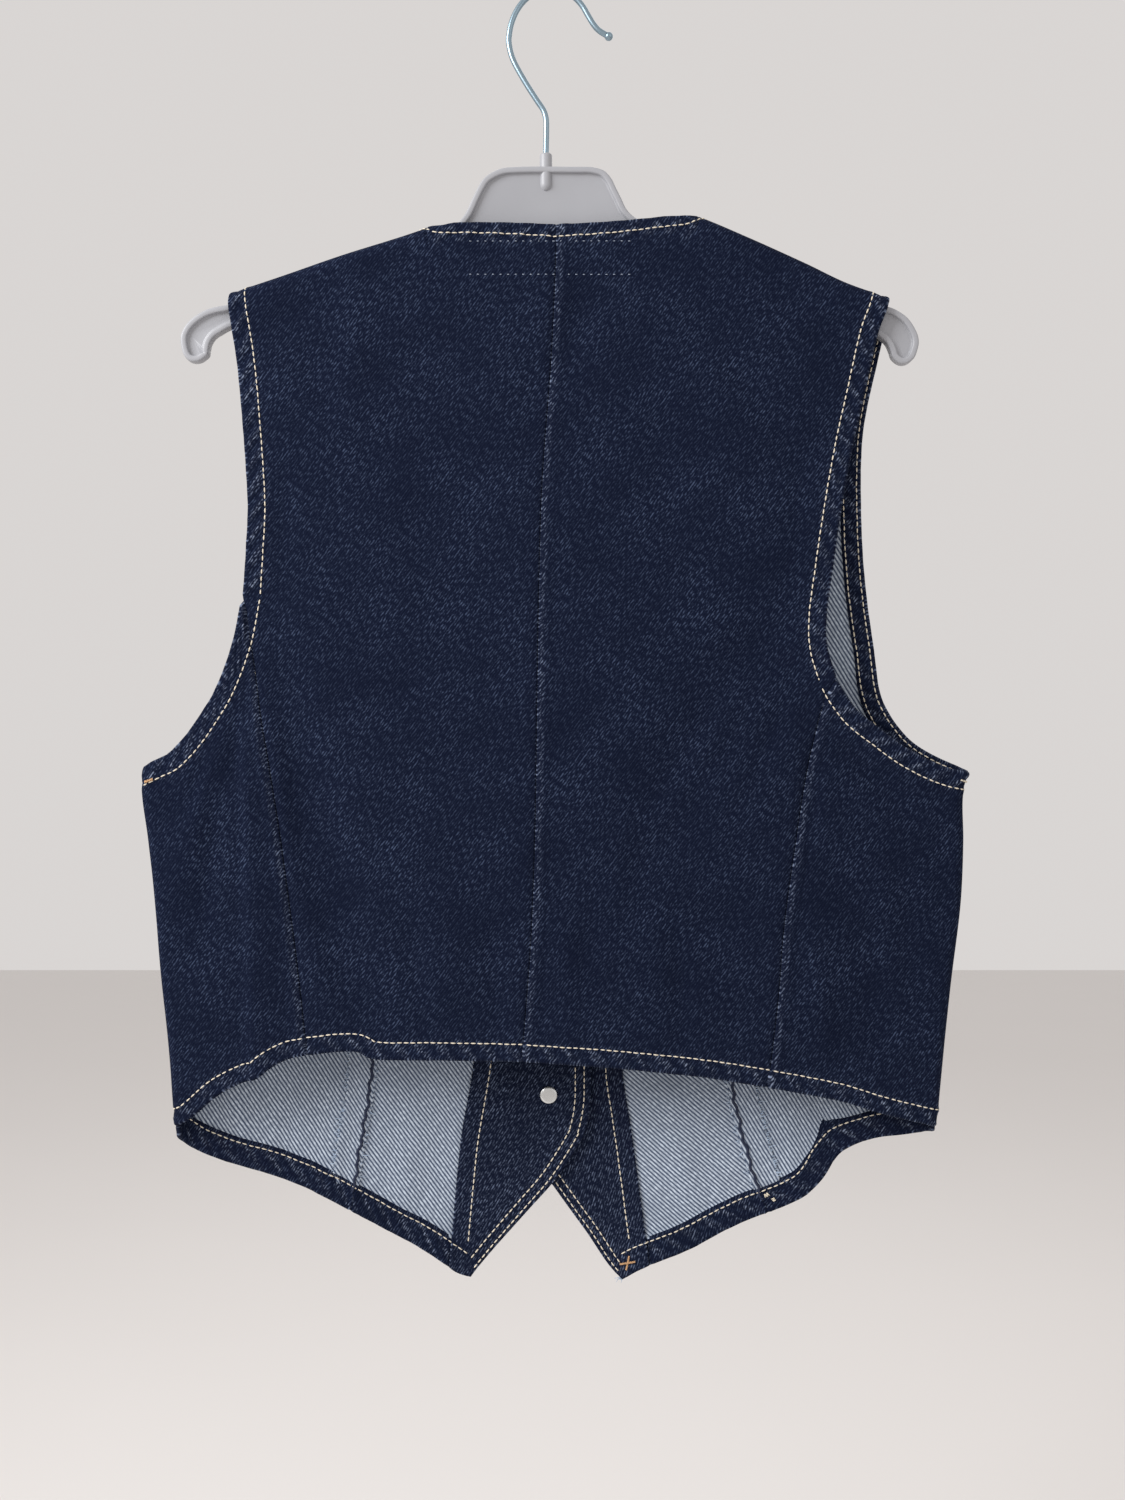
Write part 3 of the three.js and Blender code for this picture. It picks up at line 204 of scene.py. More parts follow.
# Outlines, each from top to bottom or from the side inwards.
XZ = "x z"
ARMHOLE_BACK_LEFT = table(
    XZ, (-154, -152), (-150, -178), (-147.5, -205), (-145, -245), (-146, -270), (-147.5, -291)
)
ARMHOLE_LOW_LEFT = table(
    XZ,
    (-198.5, -375.5), (-191, -370.5), (-184, -367), (-175, -357.5), (-167, -346), (-160, -334),
    (-152, -313), (-147.5, -291),
)
ARMHOLE_BACK_RIGHT = table(
    XZ,
    (163.5, -153), (158.5, -167), (153, -192), (147, -219), (141.5, -250), (137, -281),
    (134.5, -302), (135, -316), (139.5, -331),
)
ARMHOLE_LOW_RIGHT = table(
    XZ,
    (139.5, -331), (144, -339), (151, -347.5), (162, -356), (173, -364), (185, -370.5),
    (197, -375), (206.5, -377),
)
ARMHOLE_FRONT_LEFT = table(
    XZ,
    (-152.5, -152), (-148.5, -178), (-145, -212), (-143.5, -250), (-144.5, -282), (-149, -312),
    (-158, -337), (-172, -357), (-186, -369), (-198.5, -375.5),
)
ARMHOLE_FRONT_RIGHT = table(
    XZ,
    (165.5, -156), (161, -178), (156, -201), (154, -222), (154.5, -258), (157, -288),
    (161, -316), (165, -340), (176, -358), (190, -368.5), (206.5, -377),
)
NECK_BACK = table(
    XZ,
    (-52, -112.6), (-42, -111.9), (-20, -112), (4.5, -112.7), (30, -111.6), (55, -109),
    (66, -108.2),
)
CENTRE_BACK = table(
    XZ,
    (4.5, -112.7), (2, -173), (-3, -243), (-5, -330), (-6, -400), (-8, -455), (-11.5, -503),
    (-12, -516.5),
)
BACK_SEAM_LEFT = table(
    XZ,
    (-147.5, -291), (-143, -318), (-139, -348), (-134.5, -375), (-130, -404), (-125, -442),
    (-120.5, -479), (-117, -514),
)
BACK_SEAM_RIGHT = table(
    XZ,
    (139.5, -331), (132.5, -345), (126, -372), (120, -409), (114.5, -449), (112, -482),
    (108.5, -514), (106.5, -529.5),
)
HEM_BACK_SIDE_LEFT = table(
    XZ,
    (-184, -551.5), (-174.5, -547), (-160, -534.5), (-147, -527.5), (-140, -525),
    (-134.5, -520.5), (-126, -516), (-117, -514),
)
HEM_BACK_CENTRE_LEFT = table(
    XZ, (-117, -514), (-101.5, -512), (-92, -512.3), (-83, -515.8), (-50, -515.8), (-12, -516.5)
)
HEM_BACK_CENTRE_RIGHT = table(XZ, (-12, -516.5), (30, -519.5), (73, -524), (106.5, -529.5))
HEM_BACK_SIDE_RIGHT = table(
    XZ, (106.5, -529.5), (124, -533), (142, -537), (162, -543.5), (191, -551.5)
)
FRONT_SEAM_LEFT = table(
    XZ,
    (-107, -150), (-100, -215), (-92, -300), (-87, -400), (-85.5, -470), (-88.5, -524),
    (-90.6, -543), (-94.7, -566), (-97.8, -587), (-99.5, -599),
)
FRONT_SEAM_RIGHT = table(
    XZ,
    (119, -150), (111, -215), (102, -300), (94.5, -400), (90.5, -470), (91.5, -530),
    (103, -580), (111, -599.5),
)
HEM_FRONT_SIDE_LEFT = table(
    XZ,
    (-184, -557.5), (-177, -564.5), (-163, -571), (-140, -579), (-120, -587.5), (-99.5, -599),
)
HEM_FRONT_CENTRE_LEFT = table(XZ, (-99.5, -599), (-82, -609), (-66, -618), (-50, -629))
HEM_FRONT_SIDE_RIGHT = table(
    XZ,
    (191, -554.5), (181, -557), (171, -558.5), (162, -560), (154, -563), (147.5, -567),
    (142.7, -572.5), (139.5, -578.5), (135.5, -584), (129.5, -590), (121, -595), (111, -599.5),
)
HEM_FRONT_CENTRE_RIGHT = table(
    XZ, (111, -599.5), (102, -603), (87, -610.5), (70, -620), (51, -628.5)
)
POINT_LEFT = table(XZ, (-50, -629), (-46, -631.5), (-40, -633.5))
POINT_RIGHT = table(XZ, (51, -628.5), (45, -631.5), (38, -636))
DIAGONAL_LEFT = table(
    XZ, (-40, -633.5), (-28, -619), (-11, -600), (2, -585.5), (11, -572.5), (18, -561)
)
DIAGONAL_RIGHT = table(
    XZ, (38, -636), (31, -629), (19.5, -612), (5.5, -592.5), (-8, -574), (-18, -560)
)
FRONT_EDGE_LEFT = table(
    XZ,
    (-57, -123), (-40, -170), (-12, -250), (14, -302), (21, -326), (21.3, -400),
    (21.3, -520), (21, -546), (18, -561),
)
FRONT_EDGE_RIGHT = table(
    XZ,
    (69, -117), (51, -166), (17, -248), (-13, -302), (-20.5, -326), (-21, -400),
    (-21, -520), (-20.7, -545), (-18, -560),
)
FACING_LINE_LEFT = table(
    XZ,
    (-84, -131), (-72, -190), (-52, -260), (-37, -325), (-34, -400), (-34, -480),
    (-37, -523), (-44, -566), (-50, -629),
)
FACING_LINE_RIGHT = table(
    XZ,
    (98, -131), (84, -190), (60, -260), (40, -325), (35, -400), (35, -480),
    (37, -528), (42, -562), (51, -628.5),
)


@dataclass(frozen=True)
class Form:
    """The hollow form that the vest's cloth follows on its hanger."""

    shoulder_radius: float = 6.5
    side_radius: float = 5.0
    shoulder_seam: float = 3.0  # the shoulder seam lies this far in front of the fold
    lap_depth: float = 3.6  # the over front stands this far off the under one where they lap
    lap_edge: float = 24.0
    lap_fade: float = 50.0
    lap_top: float = -150.0
    lap_drop: float = 100.0
    tuck_run: float = 2.2  # half width of the tuck's step
    tuck_fade: float = 24.0  # the raised cloth falls back over this width
    fold_end: float = 0.35  # share of a fold's depth left at its ends
    fold_steps: int = 8
    ripple: float = 0.2  # the cloth's slight unevenness
    ripple_count: int = 9
    seed: int = 11

    @property
    def shoulder_roll(self) -> float:
        """Cloth taken up by the quarter bend at the shoulder."""
        return self.shoulder_radius * (math.pi / 2 - 1)

    @property
    def side_roll(self) -> float:
        """Cloth taken up by the quarter bend at a side."""
        return self.side_radius * (math.pi / 2 - 1)

    @staticmethod
    def bend(distance: np.ndarray, radius: float) -> tuple[np.ndarray, np.ndarray]:
        """A quarter bend of cloth.

        Args:
            distance: how far a place is from the fold, along the cloth.
            radius: of the bend.

        Returns:
            How far in it is from the fold's outside, and its share of the full depth.
        """
        angle = np.clip(distance / radius, None, math.pi / 2)
        past = np.maximum(distance - radius * math.pi / 2, 0)
        return radius * (1 - np.cos(angle)) + past, np.sin(angle)

    @staticmethod
    def unbend(inset: np.ndarray, radius: float) -> np.ndarray:
        """The way along the cloth from the fold to a place seen at an inset from it."""
        curved = radius * np.arccos(1 - np.clip(inset, 0, radius) / radius)
        return np.where(inset >= radius, inset + radius * (math.pi / 2 - 1), curved)

    crease_gain = 1.6  # a crease shows deeper on the thin shell than on the solid

    def folds(self, rows: Table, x: np.ndarray, z: np.ndarray) -> np.ndarray:
        """Depth that soft folds take away at each place."""
        total = np.zeros_like(x)
        steps = np.linspace(0, 1, self.fold_steps + 1)
        for x0, z0, x1, z1, x2, z2, width, depth in rows.rows:
            reach = 2.6 * width
            low_x, high_x = min(x0, x1, x2) - reach, max(x0, x1, x2) + reach
            low_z, high_z = min(z0, z1, z2) - reach, max(z0, z1, z2) + reach
            near = (x > low_x) & (x < high_x) & (z > low_z) & (z < high_z)
            if not near.any():
                continue
            a, b, c = (1 - steps) ** 2, 2 * steps * (1 - steps), steps**2
            px, pz = a * x0 + b * x1 + c * x2, a * z0 + b * z1 + c * z2
            xs, zs = x[near], z[near]
            best = np.full(xs.shape, np.inf)
            place = np.zeros(xs.shape)
            for k in range(self.fold_steps):
                dx, dz = px[k + 1] - px[k], pz[k + 1] - pz[k]
                t = np.clip(((xs - px[k]) * dx + (zs - pz[k]) * dz) / (dx * dx + dz * dz), 0, 1)
                far = np.hypot(xs - px[k] - t * dx, zs - pz[k] - t * dz)
                nearer = far < best
                best = np.where(nearer, far, best)
                place = np.where(nearer, (k + t) / self.fold_steps, place)
            taper = self.fold_end + (1 - self.fold_end) * np.sin(math.pi * place)
            total[near] += depth * taper * np.exp(-((best / width) ** 2))
        return total

    def tuck(self, x: np.ndarray, z: np.ndarray) -> np.ndarray:
        """Extra depth of the cloth that the tuck raises."""
        line = TUCK.smooth("z", "x", z)
        raised = smooth_step((x - line + self.tuck_run) / (2 * self.tuck_run))
        return TUCK.smooth("z", "step", z) * (raised - smooth_step((x - line) / self.tuck_fade))

    def uneven(self, face: Face, x: np.ndarray, z: np.ndarray) -> np.ndarray:
        """Slight ripples of no particular direction, different on each wall."""
        draw = np.random.default_rng(self.seed + list(Face).index(face))
        total = np.zeros_like(x)
        for _ in range(self.ripple_count):
            angle, turn = draw.uniform(0, math.pi), draw.uniform(0, 2 * math.pi)
            length = draw.uniform(16, 60)
            along = x * math.cos(angle) + z * math.sin(angle)
            total += np.sin(2 * math.pi * along / length + turn)
        return self.ripple * total / math.sqrt(self.ripple_count)

    def depth(self, face: Face, x: np.ndarray, z: np.ndarray) -> np.ndarray:
        """How far the cloth's outer face stands from the hanger's plane, away from its bends."""
        left, right = SIDES.smooth("z", "left", z), SIDES.smooth("z", "right", z)
        middle = (left + right) / 2
        arch = np.clip(1 - ((x - middle) / ((right - left) / 2)) ** 2, 0, None)
        back = face is Face.BACK
        depth = self.shoulder_radius + SWELL.smooth("z", "back" if back else "front", z) * arch
        depth -= self.folds(BACK_FOLDS if back else FRONT_FOLDS, x, z)
        depth -= self.crease_gain * self.folds(BACK_CREASES if back else FRONT_CREASES, x, z)
        depth += self.uneven(face, x, z)
        if back:
            depth += self.tuck(x, z)
        if face is Face.OVER:
            across = 1 - smooth_step((x - self.lap_edge) / self.lap_fade)
            depth += self.lap_depth * across * smooth_step((self.lap_top - z) / self.lap_drop)
        return depth

    def point(self, face: Face, flat: np.ndarray) -> np.ndarray:
        """Places on the cloth's outer face.

        Args:
            face: the wall.
            flat: places (u, w) on the unrolled panel, in the last axis.

        Returns:
            Points (x, y, z), in the last axis.
        """
        u, w = flat[..., 0], flat[..., 1]
        crest = SHOULDER_FOLD.smooth("x", "z", u)
        inset, top = self.bend(crest + self.shoulder_roll - w, self.shoulder_radius)
        z = crest - inset
        left_side, right_side = SIDES.smooth("z", "left", z), SIDES.smooth("z", "right", z)
        left_inset, left = self.bend(u - left_side + self.side_roll, self.side_radius)
        right_inset, right = self.bend(right_side + self.side_roll - u, self.side_radius)
        x = np.where(left < 1, left_side + left_inset, u)
        x = np.where(right < 1, right_side - right_inset, x)
        depth = top * left * right * self.depth(face, x, z)
        return np.stack([x, -depth if face is Face.BACK else depth, z], -1)

    def normal(self, face: Face, flat: np.ndarray) -> np.ndarray:
        """Unit normals out of the cloth's outer face, at places on the unrolled panel."""
        h = 0.08
        east, north = np.array([h, 0.0]), np.array([0.0, h])
        across = self.point(face, flat + east) - self.point(face, flat - east)
        up = self.point(face, flat + north) - self.point(face, flat - north)
        normal = np.cross(across, up)
        normal /= np.linalg.norm(normal, axis=-1, keepdims=True)
        return normal if face is Face.BACK else -normal

    def unrolled(self, rows: Table) -> np.ndarray:
        """Places on the unrolled panel of an outline that is given as it is seen."""
        x, z = rows["x"], rows["z"]
        crest = SHOULDER_FOLD.smooth("x", "z", x)
        w = crest + self.shoulder_roll - self.unbend(crest - z, self.shoulder_radius)
        left, right = SIDES.smooth("z", "left", z), SIDES.smooth("z", "right", z)
        r = self.side_radius
        u = np.where(x - left < r, left - self.side_roll + self.unbend(x - left, r), x)
        u = np.where(right - x < r, right + self.side_roll - self.unbend(right - x, r), u)
        return np.stack([u, w], -1)

    def on_shoulder(self, x: float, below: float) -> np.ndarray:
        """A place on the unrolled panel, a little before or behind the shoulder fold."""
        crest = float(SHOULDER_FOLD.smooth("x", "z", x))
        return np.array([[x, crest + self.shoulder_roll - below]])

    def side(self, side: str, top: float, foot: float) -> np.ndarray:
        """The side seam on the unrolled panel, from the armpit down to the hem."""
        heights = top + (foot - top) * np.array([0, 0.05, 0.12, 0.25, 0.4, 0.6, 0.8, 1])
        away = -self.side_roll if side == "left" else self.side_roll
        return np.stack([SIDES.smooth("z", side, heights) + away, heights], -1)


FORM = Form()


def rounded(points: np.ndarray, steps: int) -> np.ndarray:
    """A smooth line through points, with a number of steps between each two."""
    if len(points) < 3:
        return points
    before, after = points[[0, *range(len(points) - 2)]], points[[*range(2, len(points)), -1]]
    start, end = points[:-1], points[1:]
    t = (np.arange(steps) / steps)[None, :, None]
    v0, v1 = ((end - before) / 2)[:, None], ((after - start) / 2)[:, None]
    p0, p1 = start[:, None], end[:, None]
    inner = (2 * p0 - 2 * p1 + v0 + v1) * t**3 + (3 * p1 - 3 * p0 - 2 * v0 - v1) * t**2
    line = (inner + v0 * t + p0).reshape(-1, points.shape[1])
    return np.concatenate([line, points[-1:]])


class Outline:
    """One side of a panel, made of named pieces with corners only between them."""

    STEPS = 10
    BLEND = 2.5  # a turned hem fades out over this length where its piece ends

    def __init__(self, *pieces: tuple[str, np.ndarray]) -> None:
        """Joins the pieces; each is a name and its places on the unrolled panel."""
        lines = [(name, rounded(points, self.STEPS)) for name, points in pieces]
        self.points = np.concatenate(
            [line if i == 0 else line[1:] for i, (_, line) in enumerate(lines)]
        )
        steps = np.linalg.norm(np.diff(self.points, axis=0), axis=1)
        self.lengths = np.concatenate([[0.0], np.cumsum(steps)])
        self.length = float(self.lengths[-1])
        self.spans: dict[str, tuple[float, float]] = {}
        last = 0
        for name, line in lines:
            first, last = last, last + len(line) - 1
            start = self.spans.get(name, (self.lengths[first],))[0]
            self.spans[name] = (float(start), float(self.lengths[last]))

    def at(self, t: np.ndarray) -> np.ndarray:
        """Places at shares of the outline's length."""
        where = np.clip(t, 0, 1) * self.length
        return np.stack([np.interp(where, self.lengths, self.points[:, k]) for k in (0, 1)], -1)

    def direction(self, t: np.ndarray) -> np.ndarray:
        """Unit directions along the outline."""
        step = 1.5 / self.length
        run = self.at(np.minimum(t + step, 1)) - self.at(np.maximum(t - step, 0))
        return run / np.linalg.norm(run, axis=-1, keepdims=True)

    def share(self, names: Sequence[str], t: np.ndarray) -> np.ndarray:
        """1 where the outline is one of the named pieces, 0 elsewhere, with short blends."""
        where = np.clip(t, 0, 1) * self.length
        total = np.zeros_like(where)
        for name in names:
            if name in self.spans:
                low, high = self.spans[name]
                rise = 1.0 if low <= 0 else smooth_step((where - low) / self.BLEND + 0.5)
                fall = 1.0
                if high < self.length:
                    fall = smooth_step((high - where) / self.BLEND + 0.5)
                total = np.maximum(total, rise * fall * np.ones_like(where))
        return total

    def end_of(self, name: str) -> float:
        """Where a named piece ends, as a share of the outline's length."""
        return self.spans[name][1] / self.length


@dataclass(frozen=True)
class Lines:
    """The mesh lines of a panel in one direction.

    Each row is (distance from the start or nan, distance from the end or nan, share, from, to):
    a share runs between two fixed shares, or between the deepest start and end lines where those
    are nan.
    """

    rows: np.ndarray

    @classmethod
    def of(cls, start: Sequence[float], inner: Sequence[tuple], end: Sequence[float]) -> Lines:
        """Lines at distances from both ends, and runs (count, from, to) with guides between."""
        nan = math.nan
        rows = [(d, nan, 0, nan, nan) for d in start]
        for i, (count, low, high) in enumerate(inner):
            rows += [(nan, nan, k / count, low, high) for k in range(1, count)]
            if i + 1 < len(inner):
                rows.append((nan, nan, 0, high, high))
        rows += [(nan, d, 0, nan, nan) for d in reversed(end)]
        return cls(np.array(rows, float))

    def __len__(self) -> int:
        """How many lines there are."""
        return len(self.rows)

    def places(
        self, strides: tuple[np.ndarray, np.ndarray], insets: tuple, turns: tuple
    ) -> np.ndarray:
        """Where the lines lie, as shares of the way across.

        Args:
            strides: the share that one millimetre takes at the two ends, lines in the first axis.
            insets: how far in the first and the last line lie.
            turns: widths over which those insets fade out.

        Returns:
            Shares, in the shape of the strides.
        """
        start, end, share, low, high = (self.rows[:, k][:, None] for k in range(5))

        def shifted(distance: np.ndarray, inset: np.ndarray, turn: float) -> np.ndarray:
            return distance + inset * np.clip(1 - distance / turn, 0, 1)

        first = shifted(start, insets[0], turns[0]) * strides[0]
        last = 1 - shifted(end, insets[1], turns[1]) * strides[1]
        deepest = [np.nanmax(np.append(self.rows[:, k], 0)) for k in (0, 1)]
        from_ = np.where(np.isnan(low), deepest[0] * strides[0], low)
        to = np.where(np.isnan(high), 1 - deepest[1] * strides[1], high)
        inner = from_ + (to - from_) * share
        return np.where(~np.isnan(start), first, np.where(~np.isnan(end), last, inner))

    def distance(self, column: int) -> np.ndarray:
        """Each line's distance from one end, or a very long one."""
        return np.nan_to_num(self.rows[:, column], nan=1e6)[:, None]


@dataclass
class MeshData:
    """Points, faces and what each carries, before they become a Blender mesh."""

    points: np.ndarray
    faces: list[list[int]]
    flat: np.ndarray | None = None  # places on the unrolled cloth, for its weave
    wear_and_highlight: np.ndarray | None = None  # 0 where the cloth is new, 1 where it is palest: rubbed wear, and painted highlight on ridges and ledges
    finishes: Sequence[int] | None = None

    def joined(self, *others: MeshData) -> MeshData:
        """Several meshes as one."""
        parts = (self, *others)
        starts = np.cumsum([0, *(len(part.points) for part in parts)])
        faces = [
            [i + int(first) for i in face]
            for first, part in zip(starts, parts)
            for face in part.faces
        ]
        whole = MeshData(np.concatenate([part.points for part in parts]), faces)
        if self.flat is not None:
            whole.flat = np.concatenate([part.flat for part in parts])
            whole.wear_and_highlight = np.concatenate([part.wear_and_highlight for part in parts])
            whole.finishes = [finish for part in parts for finish in part.finishes]
        return whole

    def object(self, name: str, materials: Sequence[bpy.types.Material]) -> bpy.types.Object:
        """A named, smoothly shaded object in metres."""
        mesh = bpy.data.meshes.new(name)
        mesh.from_pydata((self.points * MM).tolist(), [], self.faces)
        for material in materials:
            mesh.materials.append(material)
        mesh.polygons.foreach_set("use_smooth", [True] * len(mesh.polygons))
        if self.finishes is not None:
            mesh.polygons.foreach_set("material_index", self.finishes)
        if self.flat is not None:
            corners = np.empty(len(mesh.loops), np.int32)
            mesh.loops.foreach_get("vertex_index", corners)
            mesh.uv_layers.new(name="Cloth").data.foreach_set("uv", self.flat[corners].ravel())
        if self.wear_and_highlight is not None:
            mesh.attributes.new("wear_and_highlight", "FLOAT", "POINT").data.foreach_set("value", self.wear_and_highlight)
        mesh.update()
        piece = bpy.data.objects.new(name, mesh)
        bpy.context.scene.collection.objects.link(piece)
        return piece


def unit(vectors: np.ndarray) -> np.ndarray:
    """Vectors of length 1."""
    return vectors / np.maximum(np.linalg.norm(vectors, axis=-1, keepdims=True), 1e-9)


def volume(points: np.ndarray, faces: Sequence[Sequence[int]]) -> float:
    """Signed volume of a closed mesh of quads."""
    a, b, c, d = (points[np.array(faces)[:, k]] for k in range(4))
    return float((np.einsum("ij,ij->i", a, np.cross(b, c) + np.cross(c, d))).sum() / 6)


@dataclass(frozen=True)
class Turned:
    """A panel's turned hems: which pieces of its outline, and how wide on each side."""

    pieces: tuple[str, ...]
    left: float = TURN
    right: float = TURN
    top: float = TURN
    bottom: float = TURN


@dataclass(frozen=True)
class Row:
    """A row of topstitching: the outline it follows, and its inset at both ends."""

    panel: str
    side: str
    piece: str
    inset: tuple[float, float]
    trim: tuple[float, float] = (0.6, 0.6)


@dataclass(frozen=True)
class Guide:
    """A line down the inside of a panel that its mesh follows."""

    line: Outline
    share: float


@dataclass
class Panel:
    """One cut piece of cloth: a grid over four outlines, with its turned hems folded inside."""

    PASSES = 5
    NEAR = 0.1  # share of the way across over which a panel is measured beside its edge
    LEAST_SLANT = 0.55
    RIM_STEPS = 4
    CREST_WEAR_AND_HIGHLIGHT = 1.1  # how pale a hem's ridges are painted: rubbed wear and painted highlight
    LEDGE_WEAR_AND_HIGHLIGHT = 0.42  # and the ledge beside a seam, also rubbed wear and painted highlight
    DIP = 0.5  # the cloth draws in along a seam
    DIP_WIDTH = 1.5
    LIFT = 0.5  # and stands up over a seam's allowance
    PUCKER = 0.75  # the slanting ridges of a turned hem
    PUCKER_PITCH = 11.5
    SEAMS = ("seam", "side", "shoulder")

    name: str
    face: Face
    top: Outline
    bottom: Outline
    left: Outline
    right: Outline
    columns: Lines
    rows: Lines
    turned: Turned
    guide: Guide | None = None
    grain: float = 0.0  # degrees that the cut is turned on the cloth
    lifted: tuple[str, ...] = ()  # sides whose seam allowance lies under this panel
    s: np.ndarray = field(init=False)
    v: np.ndarray = field(init=False)

    def __post_init__(self) -> None:
        """Settles the grid and works out the cloth's outer face, normal and thickness."""
        self.settle()
        self.flat_grid = self.flat(self.s, self.v)
        self.normals = FORM.normal(self.face, self.flat_grid)
        sides = ("left", "right", "top", "bottom")
        far = (
            self.columns.distance(0), self.columns.distance(1), self.rows.distance(0).T,
            self.rows.distance(1).T,
        )
        share = (self.v, self.v, self.s, self.s)
        around = list(zip(sides, share, far))
        self.doubled = np.maximum.reduce([self.layers(*edge) for edge in around])
        shift = sum(self.relief(*edge) for edge in around)
        # Pale hem crests and seam ledges: partly rubbed wear, partly painted highlight.
        self.wear_and_highlight = np.clip(sum(self.rubbed_and_highlit(*edge) for edge in around), 0, 1)
        self.outer = FORM.point(self.face, self.flat_grid) + self.normals * shift[..., None]
        self.thick = WALL * (1 + self.doubled)

    def blend(self, s: np.ndarray, v: np.ndarray) -> np.ndarray:
        """A place blended from the four outlines."""
        s, v = np.broadcast_arrays(s, v)
        a, b = s[..., None], v[..., None]
        across = self.top.at(s) * (1 - b) + self.bottom.at(s) * b
        down = self.left.at(v) * (1 - a) + self.right.at(v) * a
        first, second = self.top.points[0] * (1 - a), self.top.points[-1] * a
        third, fourth = self.bottom.points[0] * (1 - a), self.bottom.points[-1] * a
        return across + down - (first + second) * (1 - b) - (third + fourth) * b

    def flat(self, s: np.ndarray, v: np.ndarray) -> np.ndarray:
        """The unrolled place at shares (s, v), which also follows the guide line."""
        plain = self.blend(s, v)
        if self.guide is None:
            return plain
        s, v = np.broadcast_arrays(s, v)
        share = self.guide.share
        pull = np.where(s < share, s / share, (1 - s) / (1 - share))[..., None]
        return plain + (self.guide.line.at(v) - self.blend(np.full(v.shape, share), v)) * pull

    def inset(self, outline: Outline, t: np.ndarray) -> np.ndarray:
        """How far in the first mesh line lies, so that the rounded rim reaches the outline."""
        return SEAM_INSET + WALL / 2 * (1 + outline.share(self.turned.pieces, t))

    def stride(self, outline: Outline, t: np.ndarray, run: np.ndarray) -> np.ndarray:
        """The share of the way across that one millimetre square to an edge takes beside it."""
        way, length = outline.direction(t), np.linalg.norm(run, axis=-1)
        sine = np.abs(way[..., 0] * run[..., 1] - way[..., 1] * run[..., 0]) / length
        return 1 / (np.maximum(sine, self.LEAST_SLANT) * length)

    def settle(self) -> None:
        """Finds each grid point's shares, so that mesh lines follow the edges evenly."""
        columns, rows, turned, near = len(self.columns), len(self.rows), self.turned, self.NEAR
        s = np.tile(((np.arange(columns) + 0.5) / columns)[:, None], (1, rows))
        v = np.tile(((np.arange(rows) + 0.5) / rows)[None, :], (columns, 1))
        no, yes = np.zeros_like(s), np.ones_like(s)
        for _ in range(self.PASSES):
            runs = [
                (self.flat(yes * (a + near), v) - self.flat(yes * a, v)) / near
                for a in (0, 1 - near)
            ]
            s = self.columns.places(
                (self.stride(self.left, v, runs[0]), self.stride(self.right, v, runs[1])),
                (self.inset(self.left, v), self.inset(self.right, v)),
                (turned.left, turned.right),
            )
            runs = [
                (self.flat(s, no + a + near) - self.flat(s, no + a)) / near for a in (0, 1 - near)
            ]
            v = self.rows.places(
                (self.stride(self.top, s, runs[0]).T, self.stride(self.bottom, s, runs[1]).T),
                (self.inset(self.top, s).T, self.inset(self.bottom, s).T),
                (turned.top, turned.bottom),
            ).T
        self.s, self.v = s, v

    def layers(self, side: str, t: np.ndarray, far: np.ndarray) -> np.ndarray:
        """1 within a side's turned hem, 0 outside it."""
        turn = getattr(self.turned, side)
        share = getattr(self, side).share(self.turned.pieces, t)
        return share * smooth_step((turn + STEP - far) / STEP)

    def crest(self, side: str, t: np.ndarray, far: np.ndarray) -> np.ndarray:
        """The slanting ridges along a side's turned hem, from -1 to 1."""
        outline, turn = getattr(self, side), getattr(self.turned, side)
        place = t * outline.length
        bent = place + 1.6 * np.sin(place / 23.0 + turn) + 0.9 * far
        wave = 0.7 * np.sin(2 * math.pi * bent / self.PUCKER_PITCH)
        wave = wave + 0.3 * np.sin(2 * math.pi * bent / (0.43 * self.PUCKER_PITCH) + 1.0)
        window = np.sin(math.pi * np.clip((far + 1.5) / (turn + 3.0), 0, 1))
        return wave * window * outline.share(self.turned.pieces, t)

    def relief(self, side: str, t: np.ndarray, far: np.ndarray) -> np.ndarray:
        """Height that a side's seam and hem give the cloth near it.

        Args:
            side: left, right, top or bottom.
            t: shares along that side's outline.
            far: distances in from it.

        Returns:
            Millimetres out of the cloth's plain face.
        """
        sewn = getattr(self, side).share(self.SEAMS, t)
        dip = self.DIP * np.exp(-((far / self.DIP_WIDTH) ** 2))
        lift = self.LIFT * smooth_step((ALLOWANCE + 1.5 - far) / 2) if side in self.lifted else 0.0
        return sewn * (lift - dip) + self.PUCKER * self.crest(side, t, far)

    def rubbed_and_highlit(self, side: str, t: np.ndarray, far: np.ndarray) -> np.ndarray:
        """How pale the cloth is painted on a hem's ridges and on the ledge beside a seam: partly
        rubbed wear, partly painted highlight.
        """
        ledge = self.LEDGE_WEAR_AND_HIGHLIGHT if side in self.lifted else 0.0
        ledge *= np.exp(-(((far - 1.3) / 1.2) ** 2))
        seams = getattr(self, side).share(self.SEAMS, t)
        return self.CREST_WEAR_AND_HIGHLIGHT * np.clip(self.crest(side, t, far), 0, 1) + ledge * seams

    def inwards(self, outline: Outline, t: np.ndarray, toward: Outline | None) -> np.ndarray:
        """Unit directions over the flat cloth, away from an outline and into the panel."""
        way = outline.direction(t)
        across = np.stack([way[:, 1], -way[:, 0]], -1)
        target = self.flat_grid.mean((0, 1)) if toward is None else toward.at(t)
        return across * np.sign(((target - outline.at(t)) * across).sum())

